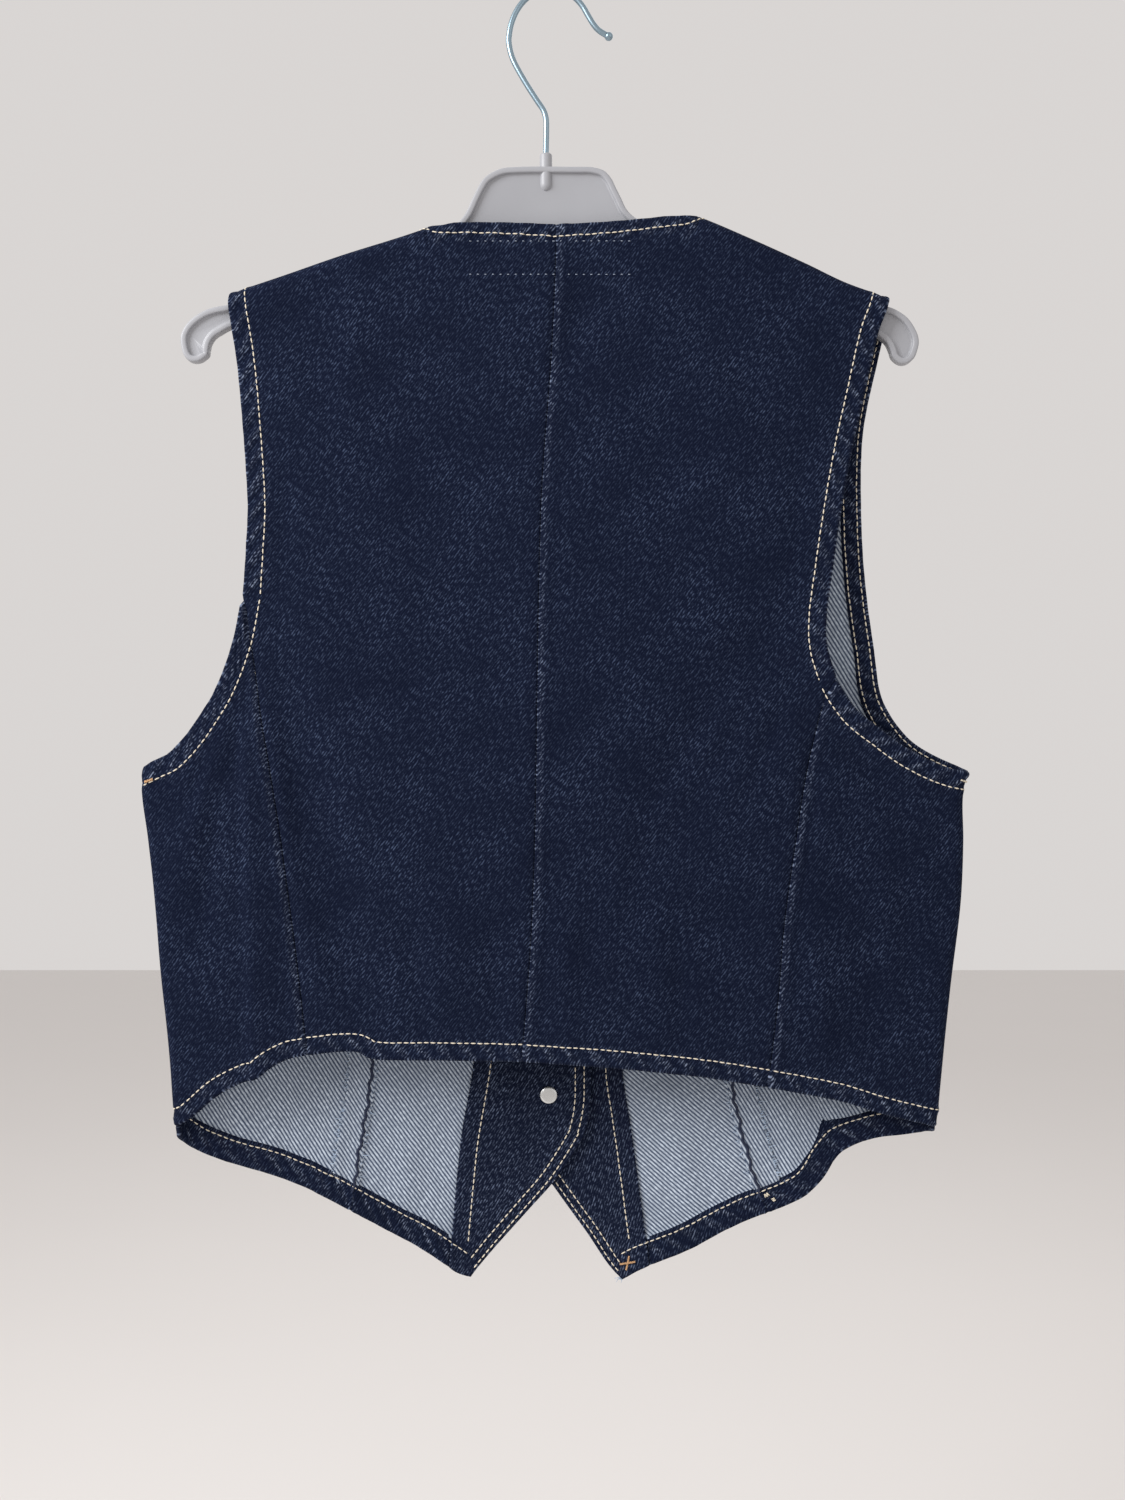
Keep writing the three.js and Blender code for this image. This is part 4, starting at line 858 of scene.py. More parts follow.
    def follow(self, row: Row) -> tuple[np.ndarray, np.ndarray]:
        """Places and normals on the panel's outer face along a row of stitching."""
        outline = self.guide.line if row.side == "guide" else getattr(self, row.side)
        toward = None
        if row.side == "guide":
            toward = self.right if self.guide.share < 0.5 else self.left
        low, high = outline.spans[row.piece]
        count = max(3, round((high - low) / 1.2))
        t = np.linspace(low + row.trim[0], high - row.trim[1], count) / outline.length
        inset = np.linspace(row.inset[0], row.inset[1], count)
        flat = outline.at(t) + self.inwards(outline, t, toward) * inset[:, None]
        normals = FORM.normal(self.face, flat)
        points = FORM.point(self.face, flat)
        if row.side != "guide":
            points = points + normals * self.relief(row.side, t, inset)[:, None]
        return points, normals

    def allowance(self, side: str, piece: str, trims: tuple[float, float]) -> MeshData:
        """A seam's pressed allowance with its raw edge, inside the panel."""
        outline = getattr(self, side)
        low, high = outline.spans[piece]
        count = round((high - low) / 2.2)
        t = np.linspace(low + trims[0], high - trims[1], count) / outline.length
        place = t * outline.length
        ragged = 0.35 * np.sin(place * 1.9) + 0.3 * np.sin(place * 0.83 + 2)
        ragged += 0.25 * np.sin(place * 4.1)
        far = np.array([-1.6, 0.4, 2.5, 5.0, 7.5, 10.0, ALLOWANCE])[None, :] + np.zeros((count, 1))
        far[:, -1] += ragged
        across = self.inwards(outline, t, None)
        flat = outline.at(t)[:, None] + across[:, None] * far[..., None]
        normals = FORM.normal(self.face, flat)
        deep = WALL + 0.12 - self.relief(side, t[:, None] + np.zeros_like(far), np.abs(far))
        outer = FORM.point(self.face, flat) - normals * deep[..., None]
        thick = np.full(far.shape, 0.9)
        none = np.zeros_like(far)
        return self.wall(outer, normals, thick, flat, none, none, rim_finish=1)

    def lining(self, first: int, last: int) -> MeshData:
        """A facing that lies inside the panel, over the columns from one to another."""
        part = slice(first, last + 1)
        normals = self.normals[part]
        outer = self.outer[part] - normals * (self.thick[part] + GAP)[..., None]
        ones = np.ones(outer.shape[:2])
        return self.wall(outer, normals, WALL * ones, self.flat_grid[part], ones, 0.25 * ones)

    def mesh(self) -> MeshData:
        """The panel's whole wall."""
        return self.wall(
            self.outer, self.normals, self.thick, self.flat_grid, self.doubled, self.wear_and_highlight
        )

    def wall(
        self,
        outer: np.ndarray,
        normals: np.ndarray,
        thick: np.ndarray,
        flat: np.ndarray,
        inner_dark: np.ndarray,
        wear_and_highlight: np.ndarray,
        rim_finish: int = 0,
    ) -> MeshData:
        """A closed wall with a half round rim.

        Args:
            outer: grid of points on its outer face.
            normals: out of that face.
            thick: the wall's thickness at each point.
            flat: unrolled places, for the weave.
            inner_dark: 1 where the inner side shows the cloth's face side, as a turned hem does.
            wear_and_highlight: how pale each point is painted, from rubbed wear and painted
                highlight.
            rim_finish: 1 for a raw edge, where the pale weft shows.

        Returns:
            The mesh, with finish 0 for the cloth's face side and 1 for its wrong side.
        """
        columns, rows = outer.shape[:2]
        count = columns * rows
        inner = outer - normals * thick[..., None]
        number = np.arange(count).reshape(columns, rows)
        loop = np.concatenate(
            [number[:, 0], number[-1, 1:], number[-2::-1, -1], number[0, -2:0:-1]]
        )
        turn = math.radians(self.grain)
        grain = np.array([[math.cos(turn), math.sin(turn)], [-math.sin(turn), math.cos(turn)]])
        flats, ups = flat.reshape(-1, 2) @ grain, normals.reshape(-1, 3)
        edge = outer.reshape(-1, 3)[loop]
        along = unit(np.roll(edge, -1, axis=0) - np.roll(edge, 1, axis=0))
        away = unit(np.cross(along, ups[loop]))
        inward = outer[columns // 2, rows // 2] - edge
        if np.einsum("ij,ij->i", away, inward).sum() > 0:
            away = -away
        middle = edge - ups[loop] * thick.reshape(-1)[loop, None] / 2
        radius = thick.reshape(-1)[loop, None] / 2
        ring_points = []
        for k in range(1, self.RIM_STEPS):
            turn = math.pi * k / self.RIM_STEPS
            spoke = math.cos(turn) * ups[loop] + math.sin(turn) * away
            ring_points.append(middle + radius * spoke)
        size = len(loop)
        rings = [loop, *(2 * count + size * k + np.arange(size) for k in range(self.RIM_STEPS - 1))]
        rings.append(loop + count)
        a, b, c, d = number[:-1, :-1], number[1:, :-1], number[1:, 1:], number[:-1, 1:]
        front = np.stack([a, b, c, d], -1).reshape(-1, 4)
        back = np.stack([a, d, c, b], -1).reshape(-1, 4) + count
        rims = [
            np.stack([low, high, np.roll(high, -1), np.roll(low, -1)], -1)
            for low, high in zip(rings[:-1], rings[1:])
        ]
        faces = np.concatenate([front, back, *rims])
        points = np.concatenate([outer.reshape(-1, 3), inner.reshape(-1, 3), *ring_points])
        if volume(points, faces) < 0:
            faces = faces[:, ::-1]
        dark = inner_dark.reshape(-1)
        wrong = dark[front].mean(-1) < 0.5
        rim = np.full(size * self.RIM_STEPS, rim_finish)
        finishes = np.concatenate([np.zeros(len(front)), wrong, rim])
        face_wear_and_highlight = wear_and_highlight.reshape(-1)
        # The rounded rims are painted paler than the faces beside them.
        rim_wear_and_highlight = face_wear_and_highlight[loop] * 0.5 + 0.5
        worn_and_highlit = np.concatenate([face_wear_and_highlight] * 2 + [rim_wear_and_highlight] * (self.RIM_STEPS - 1))
        flat_all = np.concatenate([flats, flats, *([flats[loop]] * (self.RIM_STEPS - 1))])
        return MeshData(points, faces.tolist(), flat_all, worn_and_highlit, finishes.astype(int).tolist())


def seen(name: str, rows: Table) -> tuple[str, np.ndarray]:
    """An outline's piece, given as it is seen."""
    return name, FORM.unrolled(rows)


def turned_round(rows: Table) -> Table:
    """A table's rows in the other order."""
    return Table(rows.columns, rows.rows[::-1])


@dataclass(frozen=True)
class ShoulderMarks:
    """Where seams meet one shoulder's fold."""

    tip: float
    seam: float
    neck: float


LEFT_MARKS = ShoulderMarks(-154.5, -108, -59)
RIGHT_MARKS = ShoulderMarks(166, 120, 73.5)
NECK_CORNER = 1.5
HEM_LINES = (0, 1.2, 3, 5, 7.2, TURN, TURN + STEP, TURN + 2.2)
FRONT_HEM_LINES = (0, 1.2, 3.2, 5.6, 8, 10.6, FRONT_TURN, FRONT_TURN + STEP, FRONT_TURN + 2.4)
SEAM_LINES = (0, 0.9, 2, 3.6)
SIDE_LINES = (0, 1, 2, 3, 4, 5.2, 6.6, 8.2, TURN, TURN + STEP, TURN + 2.2)
BACK_TOP_LINES = (0, 1, 2, 3, 4, 5, 6, 7, 8.2, TURN, TURN + STEP, 12, 13.5)
FRONT_TOP_LINES = (0, 1, 2, 3.2, 4.6, 6, 8, 10)


def cells(length: float) -> int:
    """How many cells a run of cloth is cut into."""
    return max(2, round(length / CELL))


class Pattern:
    """The vest's cut pieces, named for the wearer's sides; the wearer's left is at -X."""

    def __init__(self) -> None:
        """Lays out all eight panels."""
        left_pit = float(ARMHOLE_LOW_LEFT["z"][0])
        right_pit = float(ARMHOLE_LOW_RIGHT["z"][-1])
        self.back_centre_left = self.back_centre("left")
        self.back_centre_right = self.back_centre("right")
        self.back_side_left = Panel(
            "back_side_left",
            Face.BACK,
            top=Outline(seen("armhole", ARMHOLE_LOW_LEFT)),
            bottom=Outline(seen("hem", HEM_BACK_SIDE_LEFT)),
            left=Outline(("side", FORM.side("left", left_pit, -551.5))),
            right=Outline(seen("seam", BACK_SEAM_LEFT)),
            columns=Lines.of(SIDE_LINES[:9], [(cells(52), math.nan, math.nan)], SEAM_LINES),
            rows=Lines.of(HEM_LINES, [(cells(175), math.nan, math.nan)], HEM_LINES),
            turned=Turned(("armhole", "hem")),
            lifted=("right",),
        )
        self.back_side_right = Panel(
            "back_side_right",
            Face.BACK,
            top=Outline(seen("armhole", ARMHOLE_LOW_RIGHT)),
            bottom=Outline(seen("hem", HEM_BACK_SIDE_RIGHT)),
            left=Outline(seen("seam", BACK_SEAM_RIGHT)),
            right=Outline(("side", FORM.side("right", right_pit, -551.5))),
            columns=Lines.of(SEAM_LINES, [(cells(68), math.nan, math.nan)], SIDE_LINES[:9]),
            rows=Lines.of(HEM_LINES, [(cells(165), math.nan, math.nan)], HEM_LINES),
            turned=Turned(("armhole", "hem")),
            lifted=("left",),
        )
        self.front_side_left = Panel(
            "front_side_left",
            Face.UNDER,
            top=Outline(self.shoulder(LEFT_MARKS.tip, LEFT_MARKS.seam)),
            bottom=Outline(seen("hem", HEM_FRONT_SIDE_LEFT)),
            left=Outline(
                self.from_shoulder("armhole", LEFT_MARKS.tip, ARMHOLE_FRONT_LEFT),
                ("side", FORM.side("left", left_pit, -557.5)),
            ),
            right=Outline(self.from_shoulder("seam", LEFT_MARKS.seam, FRONT_SEAM_LEFT)),
            columns=Lines.of(SIDE_LINES, [(cells(60), math.nan, math.nan)], SEAM_LINES),
            rows=Lines.of(FRONT_TOP_LINES, [(cells(420), math.nan, math.nan)], FRONT_HEM_LINES),
            turned=Turned(("armhole", "hem"), bottom=FRONT_TURN),
        )
        self.front_side_right = Panel(
            "front_side_right",
            Face.OVER,
            top=Outline(self.shoulder(RIGHT_MARKS.seam, RIGHT_MARKS.tip)),
            bottom=Outline(seen("hem", turned_round(HEM_FRONT_SIDE_RIGHT))),
            left=Outline(self.from_shoulder("seam", RIGHT_MARKS.seam, FRONT_SEAM_RIGHT)),
            right=Outline(
                self.from_shoulder("armhole", RIGHT_MARKS.tip, ARMHOLE_FRONT_RIGHT),
                ("side", FORM.side("right", right_pit, -554.5)),
            ),
            columns=Lines.of(SEAM_LINES, [(cells(66), math.nan, math.nan)], SIDE_LINES),
            rows=Lines.of(FRONT_TOP_LINES, [(cells(420), math.nan, math.nan)], FRONT_HEM_LINES),
            turned=Turned(("armhole", "hem"), bottom=FRONT_TURN),
        )
        self.front_centre_left, self.facing_columns_left = self.front_centre("left")
        self.front_centre_right, self.facing_columns_right = self.front_centre("right")

    @staticmethod
    def shoulder(start: float, end: float, way: int = 1) -> tuple[str, np.ndarray]:
        """A panel's shoulder edge: way is -1 for the back's, over the fold on the front."""
        seam = way * FORM.shoulder_seam
        places = [FORM.on_shoulder(x, seam) for x in np.linspace(start, end, 5)]
        return "shoulder", np.concatenate(places)

    @staticmethod
    def from_shoulder(name: str, mark: float, rows: Table) -> tuple[str, np.ndarray]:
        """A front outline that starts at the shoulder seam."""
        start = FORM.on_shoulder(mark, FORM.shoulder_seam)
        return name, np.concatenate([start, FORM.unrolled(rows)])

    def back_centre(self, side: str) -> Panel:
        """One half of the back between its side seam and the centre seam."""
        left = side == "left"
        marks = LEFT_MARKS if left else RIGHT_MARKS
        middle = CENTRE_BACK["x"][0]
        keep = NECK_BACK["x"] <= middle if left else NECK_BACK["x"] >= middle
        neck = FORM.unrolled(Table(NECK_BACK.columns, NECK_BACK.rows[keep]))
        corner = NECK_CORNER if left else -NECK_CORNER
        ends = [
            FORM.on_shoulder(marks.neck, -FORM.shoulder_seam),
            FORM.on_shoulder(marks.neck + corner, 0),
        ]
        armhole_rows = FORM.unrolled(ARMHOLE_BACK_LEFT if left else ARMHOLE_BACK_RIGHT)
        start = [FORM.on_shoulder(marks.tip, -FORM.shoulder_seam), FORM.on_shoulder(marks.tip, 0)]
        armhole = Outline(
            ("armhole", np.concatenate([*start, armhole_rows])),
            seen("seam", BACK_SEAM_LEFT if left else BACK_SEAM_RIGHT),
        )
        centre = Outline(seen("seam", CENTRE_BACK))
        outer_lines = HEM_LINES
        # A mesh line stays at the neck's corner, so that no cell is drawn across it.
        if left:
            shoulder = self.shoulder(marks.tip, marks.neck, -1)
            top = Outline(shoulder, ("neck", np.concatenate([*ends, neck])))
            corner_share = top.end_of("shoulder")
            inner = [(cells(73), math.nan, corner_share), (cells(52), corner_share, math.nan)]
            columns = Lines.of(outer_lines, inner, SEAM_LINES)
        else:
            shoulder = self.shoulder(marks.neck, marks.tip, -1)
            top = Outline(("neck", np.concatenate([neck, *ends[::-1]])), shoulder)
            corner_share = top.end_of("neck")
            inner = [(cells(46), math.nan, corner_share), (cells(64), corner_share, math.nan)]
            columns = Lines.of(SEAM_LINES, inner, outer_lines)
        return Panel(
            f"back_centre_{side}",
            Face.BACK,
            top=top,
            bottom=Outline(seen("hem", HEM_BACK_CENTRE_LEFT if left else HEM_BACK_CENTRE_RIGHT)),
            left=armhole if left else centre,
            right=centre if left else armhole,
            columns=columns,
            rows=Lines.of(BACK_TOP_LINES, [(cells(385), math.nan, math.nan)], HEM_LINES),
            turned=Turned(("armhole", "neck", "hem")),
            lifted=() if left else ("left",),
        )

    def front_centre(self, side: str) -> tuple[Panel, tuple[int, int]]:
        """A front centre panel, and the columns that its facing covers."""
        left = side == "left"
        marks = LEFT_MARKS if left else RIGHT_MARKS
        nan = math.nan
        if left:
            top = Outline(self.shoulder(marks.seam, marks.neck))
            pieces = [
                ("hem", HEM_FRONT_CENTRE_LEFT),
                ("point", POINT_LEFT),
                ("diagonal", DIAGONAL_LEFT),
            ]
        else:
            top = Outline(self.shoulder(marks.neck, marks.seam))
            pieces = [
                ("diagonal", turned_round(DIAGONAL_RIGHT)),
                ("point", turned_round(POINT_RIGHT)),
                ("hem", turned_round(HEM_FRONT_CENTRE_RIGHT)),
            ]
        bottom = Outline(*(seen(name, rows) for name, rows in pieces))
        hem_share = bottom.end_of("hem" if left else "point")
        point_share = bottom.end_of("point" if left else "diagonal")
        facing_rows = FORM.unrolled(FACING_LINE_LEFT if left else FACING_LINE_RIGHT)
        share = np.array([hem_share])
        # The table's last point lies on the hem, where the guide line ends anyway.
        guide_rows = [top.at(share), facing_rows[:-1], bottom.at(share)]
        line = Outline(("facing", np.concatenate(guide_rows)))
        seam_rows = FRONT_SEAM_LEFT if left else FRONT_SEAM_RIGHT
        edge_rows = FRONT_EDGE_LEFT if left else FRONT_EDGE_RIGHT
        seam = Outline(self.from_shoulder("seam", marks.seam, seam_rows))
        edge = Outline(self.from_shoulder("edge", marks.neck, edge_rows))
        plain, point, facing = cells(50), 6, cells(46)
        edge_lines = (0, 1.2, 2.8)
        if left:
            inner = [
                (plain, nan, hem_share),
                (point, hem_share, point_share),
                (facing, point_share, nan),
            ]
            columns = Lines.of(SEAM_LINES, inner, edge_lines)
            covered = (len(SEAM_LINES) + plain - 1, len(columns) - 1)
        else:
            inner = [
                (facing, nan, point_share),
                (point, point_share, hem_share),
                (plain, hem_share, nan),
            ]
            columns = Lines.of(edge_lines, inner, SEAM_LINES)
            covered = (0, len(edge_lines) + facing + point - 1)
        panel = Panel(
            f"front_centre_{side}",
            Face.UNDER if left else Face.OVER,
            top=top,
            bottom=bottom,
            left=seam if left else edge,
            right=edge if left else seam,
            columns=columns,
            rows=Lines.of(FRONT_TOP_LINES, [(cells(470), nan, nan)], FRONT_HEM_LINES),
            turned=Turned(("hem",), bottom=FRONT_TURN),
            guide=Guide(line, hem_share),
            grain=-4.0 if left else -18.0,
        )
        return panel, covered

    def panels(self) -> tuple[Panel, ...]:
        """All panels."""
        return (
            self.back_centre_left, self.back_centre_right,
            self.back_side_left, self.back_side_right,
            self.front_side_left, self.front_side_right,
            self.front_centre_left, self.front_centre_right,
        )


def linear(code: str) -> tuple[float, float, float, float]:
    """A colour for Blender from its sRGB hex code."""
    parts = [int(code[i : i + 2], 16) / 255 for i in (1, 3, 5)]
    lit = [c / 12.92 if c <= 0.04045 else ((c + 0.055) / 1.055) ** 2.4 for c in parts]
    return (lit[0], lit[1], lit[2], 1.0)


def add_node(
    tree: bpy.types.NodeTree, kind: str, inputs: dict | None = None, **settings: object
) -> bpy.types.Node:
    """Adds a shader node.

    Args:
        tree: the material's or world's nodes.
        kind: the node's type.
        inputs: a value or another node's output for each named input.
        settings: the node's own properties.

    Returns:
        The node.
    """
    node = tree.nodes.new(kind)
    for name, value in settings.items():
        setattr(node, name, value)
    for name, value in (inputs or {}).items():
        if isinstance(value, bpy.types.NodeSocket):
            tree.links.new(value, node.inputs[name])
        else:
            node.inputs[name].default_value = value
    return node


def empty_material(name: str) -> tuple[bpy.types.Material, bpy.types.NodeTree]:
    """A material with no nodes yet."""
    material = bpy.data.materials.new(name)
    material.use_nodes = True
    material.node_tree.nodes.clear()
    return material, material.node_tree


@dataclass(frozen=True)
class PlainFinish:
    """A finish of one colour with slight clouds in its tone and gloss."""

    name: str
    colour: str
    roughness: float
    metallic: float = 0.0
    mottle: float = 0.05  # how far the roughness wanders
    tone: float = 0.06  # how far the brightness wanders
    grain: float = 4.0  # mm across one cloud

    def material(self) -> bpy.types.Material:
        """The Blender material."""
        material, tree = empty_material(self.name)
        place = add_node(tree, "ShaderNodeTexCoord").outputs["Object"]
        cloud = add_node(
            tree, "ShaderNodeTexNoise",
            {"Vector": place, "Scale": 1 / (self.grain * MM), "Detail": 3.0},
        ).outputs["Fac"]
        low, high = self.roughness - self.mottle, self.roughness + self.mottle
        rough = add_node(
            tree, "ShaderNodeMapRange", {"Value": cloud, "To Min": low, "To Max": high}
        )
        low, high = 1 - self.tone, 1 + self.tone
        bright = add_node(
            tree, "ShaderNodeMapRange", {"Value": cloud, "To Min": low, "To Max": high}
        )
        base = add_node(
            tree, "ShaderNodeHueSaturation",
            {"Color": linear(self.colour), "Value": bright.outputs["Result"]},
        )
        shader = add_node(
            tree, "ShaderNodeBsdfPrincipled",
            {
                "Base Color": base.outputs["Color"], "Metallic": self.metallic,
                "Roughness": rough.outputs["Result"],
            },
        )
        add_node(tree, "ShaderNodeOutputMaterial", {"Surface": shader.outputs["BSDF"]})
        return material


@dataclass(frozen=True)
class TwillFinish:
    """One side of a yarn dyed twill: slanting ridges, with flecks where they catch the light."""

    name: str
    ground: str
    fleck: str
    slant: float  # degrees from level
    pitch: float  # mm between ridges; real ones, at 0.9 mm, would blur in the picture
    steady: float  # how much of the ridges shows where there are no flecks
    rubbed_and_highlit: str  # colour of flecks on rubbed ridges and under painted highlight
    relief: float = 0.16  # mm
    sheen: float = 0.0
    DASHES = (1.15, 0.42, 1.0)  # flecks per mm across the ridges and along them
    DASH_EDGE = (0.48, 0.66)  # the noise's levels between which a fleck fades in
    PATCHES = 0.035  # patches with more flecks or fewer, per mm
    PATCH_EDGE = (0.3, 0.75)
    CLOUDS = (0.9, 1.1)  # how far the patches darken and brighten the cloth

    def material(self) -> bpy.types.Material:
        """The Blender material."""
        material, tree = empty_material(self.name)
        cloth = add_node(tree, "ShaderNodeUVMap", uv_map="Cloth").outputs["UV"]
        turn = (0.0, 0.0, math.radians(90 - self.slant))
        lined = add_node(
            tree, "ShaderNodeMapping", {"Vector": cloth, "Rotation": turn}
        ).outputs["Vector"]
        # A wave's period is pi / 10 over its scale.
        wave = add_node(
            tree, "ShaderNodeTexWave",
            {
                "Vector": lined, "Scale": math.pi / (10 * self.pitch), "Distortion": 0.35,
                "Detail": 1.0, "Detail Scale": 0.5,
            },
        ).outputs["Fac"]
        long_way = add_node(
            tree, "ShaderNodeMapping", {"Vector": lined, "Scale": self.DASHES}
        ).outputs["Vector"]
        dashes = add_node(
            tree, "ShaderNodeTexNoise", {"Vector": long_way, "Scale": 1.0, "Detail": 2.0}
        ).outputs["Fac"]
        patches = add_node(
            tree, "ShaderNodeTexNoise", {"Vector": cloth, "Scale": self.PATCHES, "Detail": 3.0}
        ).outputs["Fac"]
        # The mesh's paleness from rubbed wear and from painted highlight on ridges and ledges.
        wear_and_highlight = add_node(tree, "ShaderNodeAttribute", attribute_name="wear_and_highlight").outputs["Fac"]
        dash = add_node(
            tree, "ShaderNodeMapRange",
            {"Value": dashes, "From Min": self.DASH_EDGE[0], "From Max": self.DASH_EDGE[1]},
        ).outputs["Result"]
        patch = add_node(
            tree, "ShaderNodeMapRange",
            {
                "Value": patches, "From Min": self.PATCH_EDGE[0], "From Max": self.PATCH_EDGE[1],
                "To Min": 0.3,
            },
        ).outputs["Result"]
        # Flecks grow with the patches and with the painted highlight and wear on ridges.
        bright = add_node(
            tree, "ShaderNodeMath", {0: patch, 1: wear_and_highlight}, operation="ADD"
        ).outputs["Value"]
        spots = add_node(tree, "ShaderNodeMath", {0: dash, 1: bright}, operation="MULTIPLY")
        shown = add_node(
            tree, "ShaderNodeMath", {0: spots.outputs["Value"], 1: self.steady}, operation="ADD"
        ).outputs["Value"]
        flecks = add_node(
            tree, "ShaderNodeMath", {0: shown, 1: wave}, operation="MULTIPLY", use_clamp=True
        ).outputs["Value"]
        # Inputs 6 and 7 of a mix node are its two colours, and output 2 is their mix.
        lit = add_node(
            tree, "ShaderNodeMix", {"Factor": wear_and_highlight, 6: linear(self.fleck), 7: linear(self.rubbed_and_highlit)},
            data_type="RGBA",
        ).outputs[2]
        colour = add_node(
            tree, "ShaderNodeMix", {"Factor": flecks, 6: linear(self.ground), 7: lit},
            data_type="RGBA",
        ).outputs[2]
        clouds = add_node(
            tree, "ShaderNodeMapRange",
            {"Value": patches, "To Min": self.CLOUDS[0], "To Max": self.CLOUDS[1]},
        ).outputs["Result"]
        base = add_node(tree, "ShaderNodeHueSaturation", {"Color": colour, "Value": clouds})
        bump = add_node(
            tree, "ShaderNodeBump", {"Height": wave, "Distance": self.relief * MM, "Strength": 0.7}
        )
        shader = add_node(
            tree, "ShaderNodeBsdfPrincipled",
            {
                "Base Color": base.outputs["Color"], "Roughness": 0.95, "Sheen Weight": self.sheen,
                "Normal": bump.outputs["Normal"], "Specular IOR Level": 0.05,
            },
        )
        add_node(tree, "ShaderNodeOutputMaterial", {"Surface": shader.outputs["BSDF"]})
        return material


def ring_faces(rings: int, sides: int) -> list[list[int]]:
    """The faces between rings of points, and the two that close their ends."""
    faces = []
    for k in range(rings - 1):
        for i in range(sides):
            j = (i + 1) % sides
            faces.append([k * sides + i, k * sides + j, (k + 1) * sides + j, (k + 1) * sides + i])
    faces.append(list(range(sides))[::-1])
    faces.append([(rings - 1) * sides + i for i in range(sides)])
    return faces


def revolved(profile: Sequence[tuple[float, float]], sides: int) -> MeshData:
    """A solid turned round the Z axis from rows of (radius, height), closed at both ends."""
    angles = 2 * math.pi * np.arange(sides) / sides
    rings = [
        np.stack([r * np.cos(angles), r * np.sin(angles), np.full(sides, float(h))], -1)
        for r, h in profile
    ]
    return MeshData(np.concatenate(rings), ring_faces(len(profile), sides))


def tube(path: np.ndarray, radii: np.ndarray, sides: int) -> MeshData:
    """A closed round tube along a path that lies in the hanger's plane."""
    way = unit(np.gradient(path, axis=0))
    out = np.array([0.0, 1.0, 0.0])
    side = unit(np.cross(way, out))
    angles = 2 * math.pi * np.arange(sides) / sides
    ring = np.cos(angles)[None, :, None] * side[:, None] + np.sin(angles)[None, :, None] * out
    points = (path[:, None] + ring * radii[:, None, None]).reshape(-1, 3)
    return MeshData(points, ring_faces(len(path), sides))


def through(points: np.ndarray, steps: int, closed: bool) -> np.ndarray:
    """An even curve through unevenly spaced points, centripetal so that it does not overshoot."""
    if closed:
        padded = np.concatenate([points[-1:], points, points[:2]])
    else:
        ends = 2 * points[0] - points[1], 2 * points[-1] - points[-2]
        padded = np.concatenate([ends[0][None], points, ends[1][None]])
    result = []
    for i in range(1, len(padded) - 2):
        p = padded[i - 1 : i + 3]
        steps_apart = np.sqrt(np.linalg.norm(np.diff(p, axis=0), axis=1))
        knots = np.concatenate([[0], np.cumsum(steps_apart)])
        t = np.linspace(knots[1], knots[2], steps, endpoint=False)[:, None]
        first = [
            ((knots[k + 1] - t) * p[k] + (t - knots[k]) * p[k + 1]) / (knots[k + 1] - knots[k])
            for k in range(3)
        ]
        second = [
            ((knots[k + 2] - t) * first[k] + (t - knots[k]) * first[k + 1])
            / (knots[k + 2] - knots[k])
            for k in range(2)
        ]
        blend = (knots[2] - t) * second[0] + (t - knots[1]) * second[1]
        result.append(blend / (knots[2] - knots[1]))
    curve = np.concatenate(result)
    return curve if closed else np.concatenate([curve, points[-1:]])


HANGER_NECK = table(
    XZ,
    (-50, -117), (-40.7, -107.8), (-35.9, -98.2), (-33.4, -93.4), (-31, -89.9), (-26.9, -87),
    (-22, -85.1), (-13.6, -84.4), (12.6, -84.4), (21.5, -84.6), (27.1, -86.3), (30.5, -89.9),
    (32.9, -94.6), (35.3, -99.4), (38.5, -105.4), (46, -110.8),
)
HANGER_END_RIGHT = table(
    XZ,
    (166, -151.8), (169.9, -153.7), (173.8, -156.6), (176.7, -160.4), (178.9, -164.8),
    (179.5, -168.6), (178.7, -172.5), (177.3, -175.9), (174.4, -178.3), (171.5, -178.8),
    (169, -177.8), (166.6, -175.4), (165.6, -172.5), (163.6, -168.6), (157, -163.8),
)
HANGER_UNDER = table(
    XZ,
    (140, -157), (115, -147), (85, -138), (45, -131), (-45, -134), (-80, -140), (-110, -148),
    (-135, -155),
)
HANGER_END_LEFT = table(
    XZ,
    (-154.9, -161.9), (-158.3, -163.8), (-161.3, -165.7), (-163.4, -168.6), (-164.2, -171.5),
    (-164.7, -174.4), (-166.7, -176.3), (-169.1, -177.6), (-172, -177.8), (-174.5, -176.8),
    (-176.4, -174.4), (-177.8, -168.6), (-177.6, -164.8), (-175.8, -160.9), (-172.9, -157.6),
    (-169, -154.7), (-165.1, -152.7), (-160.2, -151.3),
)
HOOK_STEM = table(
    XZ,
    (-1, -90), (-1, -78), (-0.8, -66), (-0.9, -61), (-2, -57), (-5.3, -52), (-12, -41.5),
    (-17.2, -31.6),
)
HOOK_FLARE = table(XZ, (21.9, -15.6), (24.6, -18.6), (29.3, -21.4))


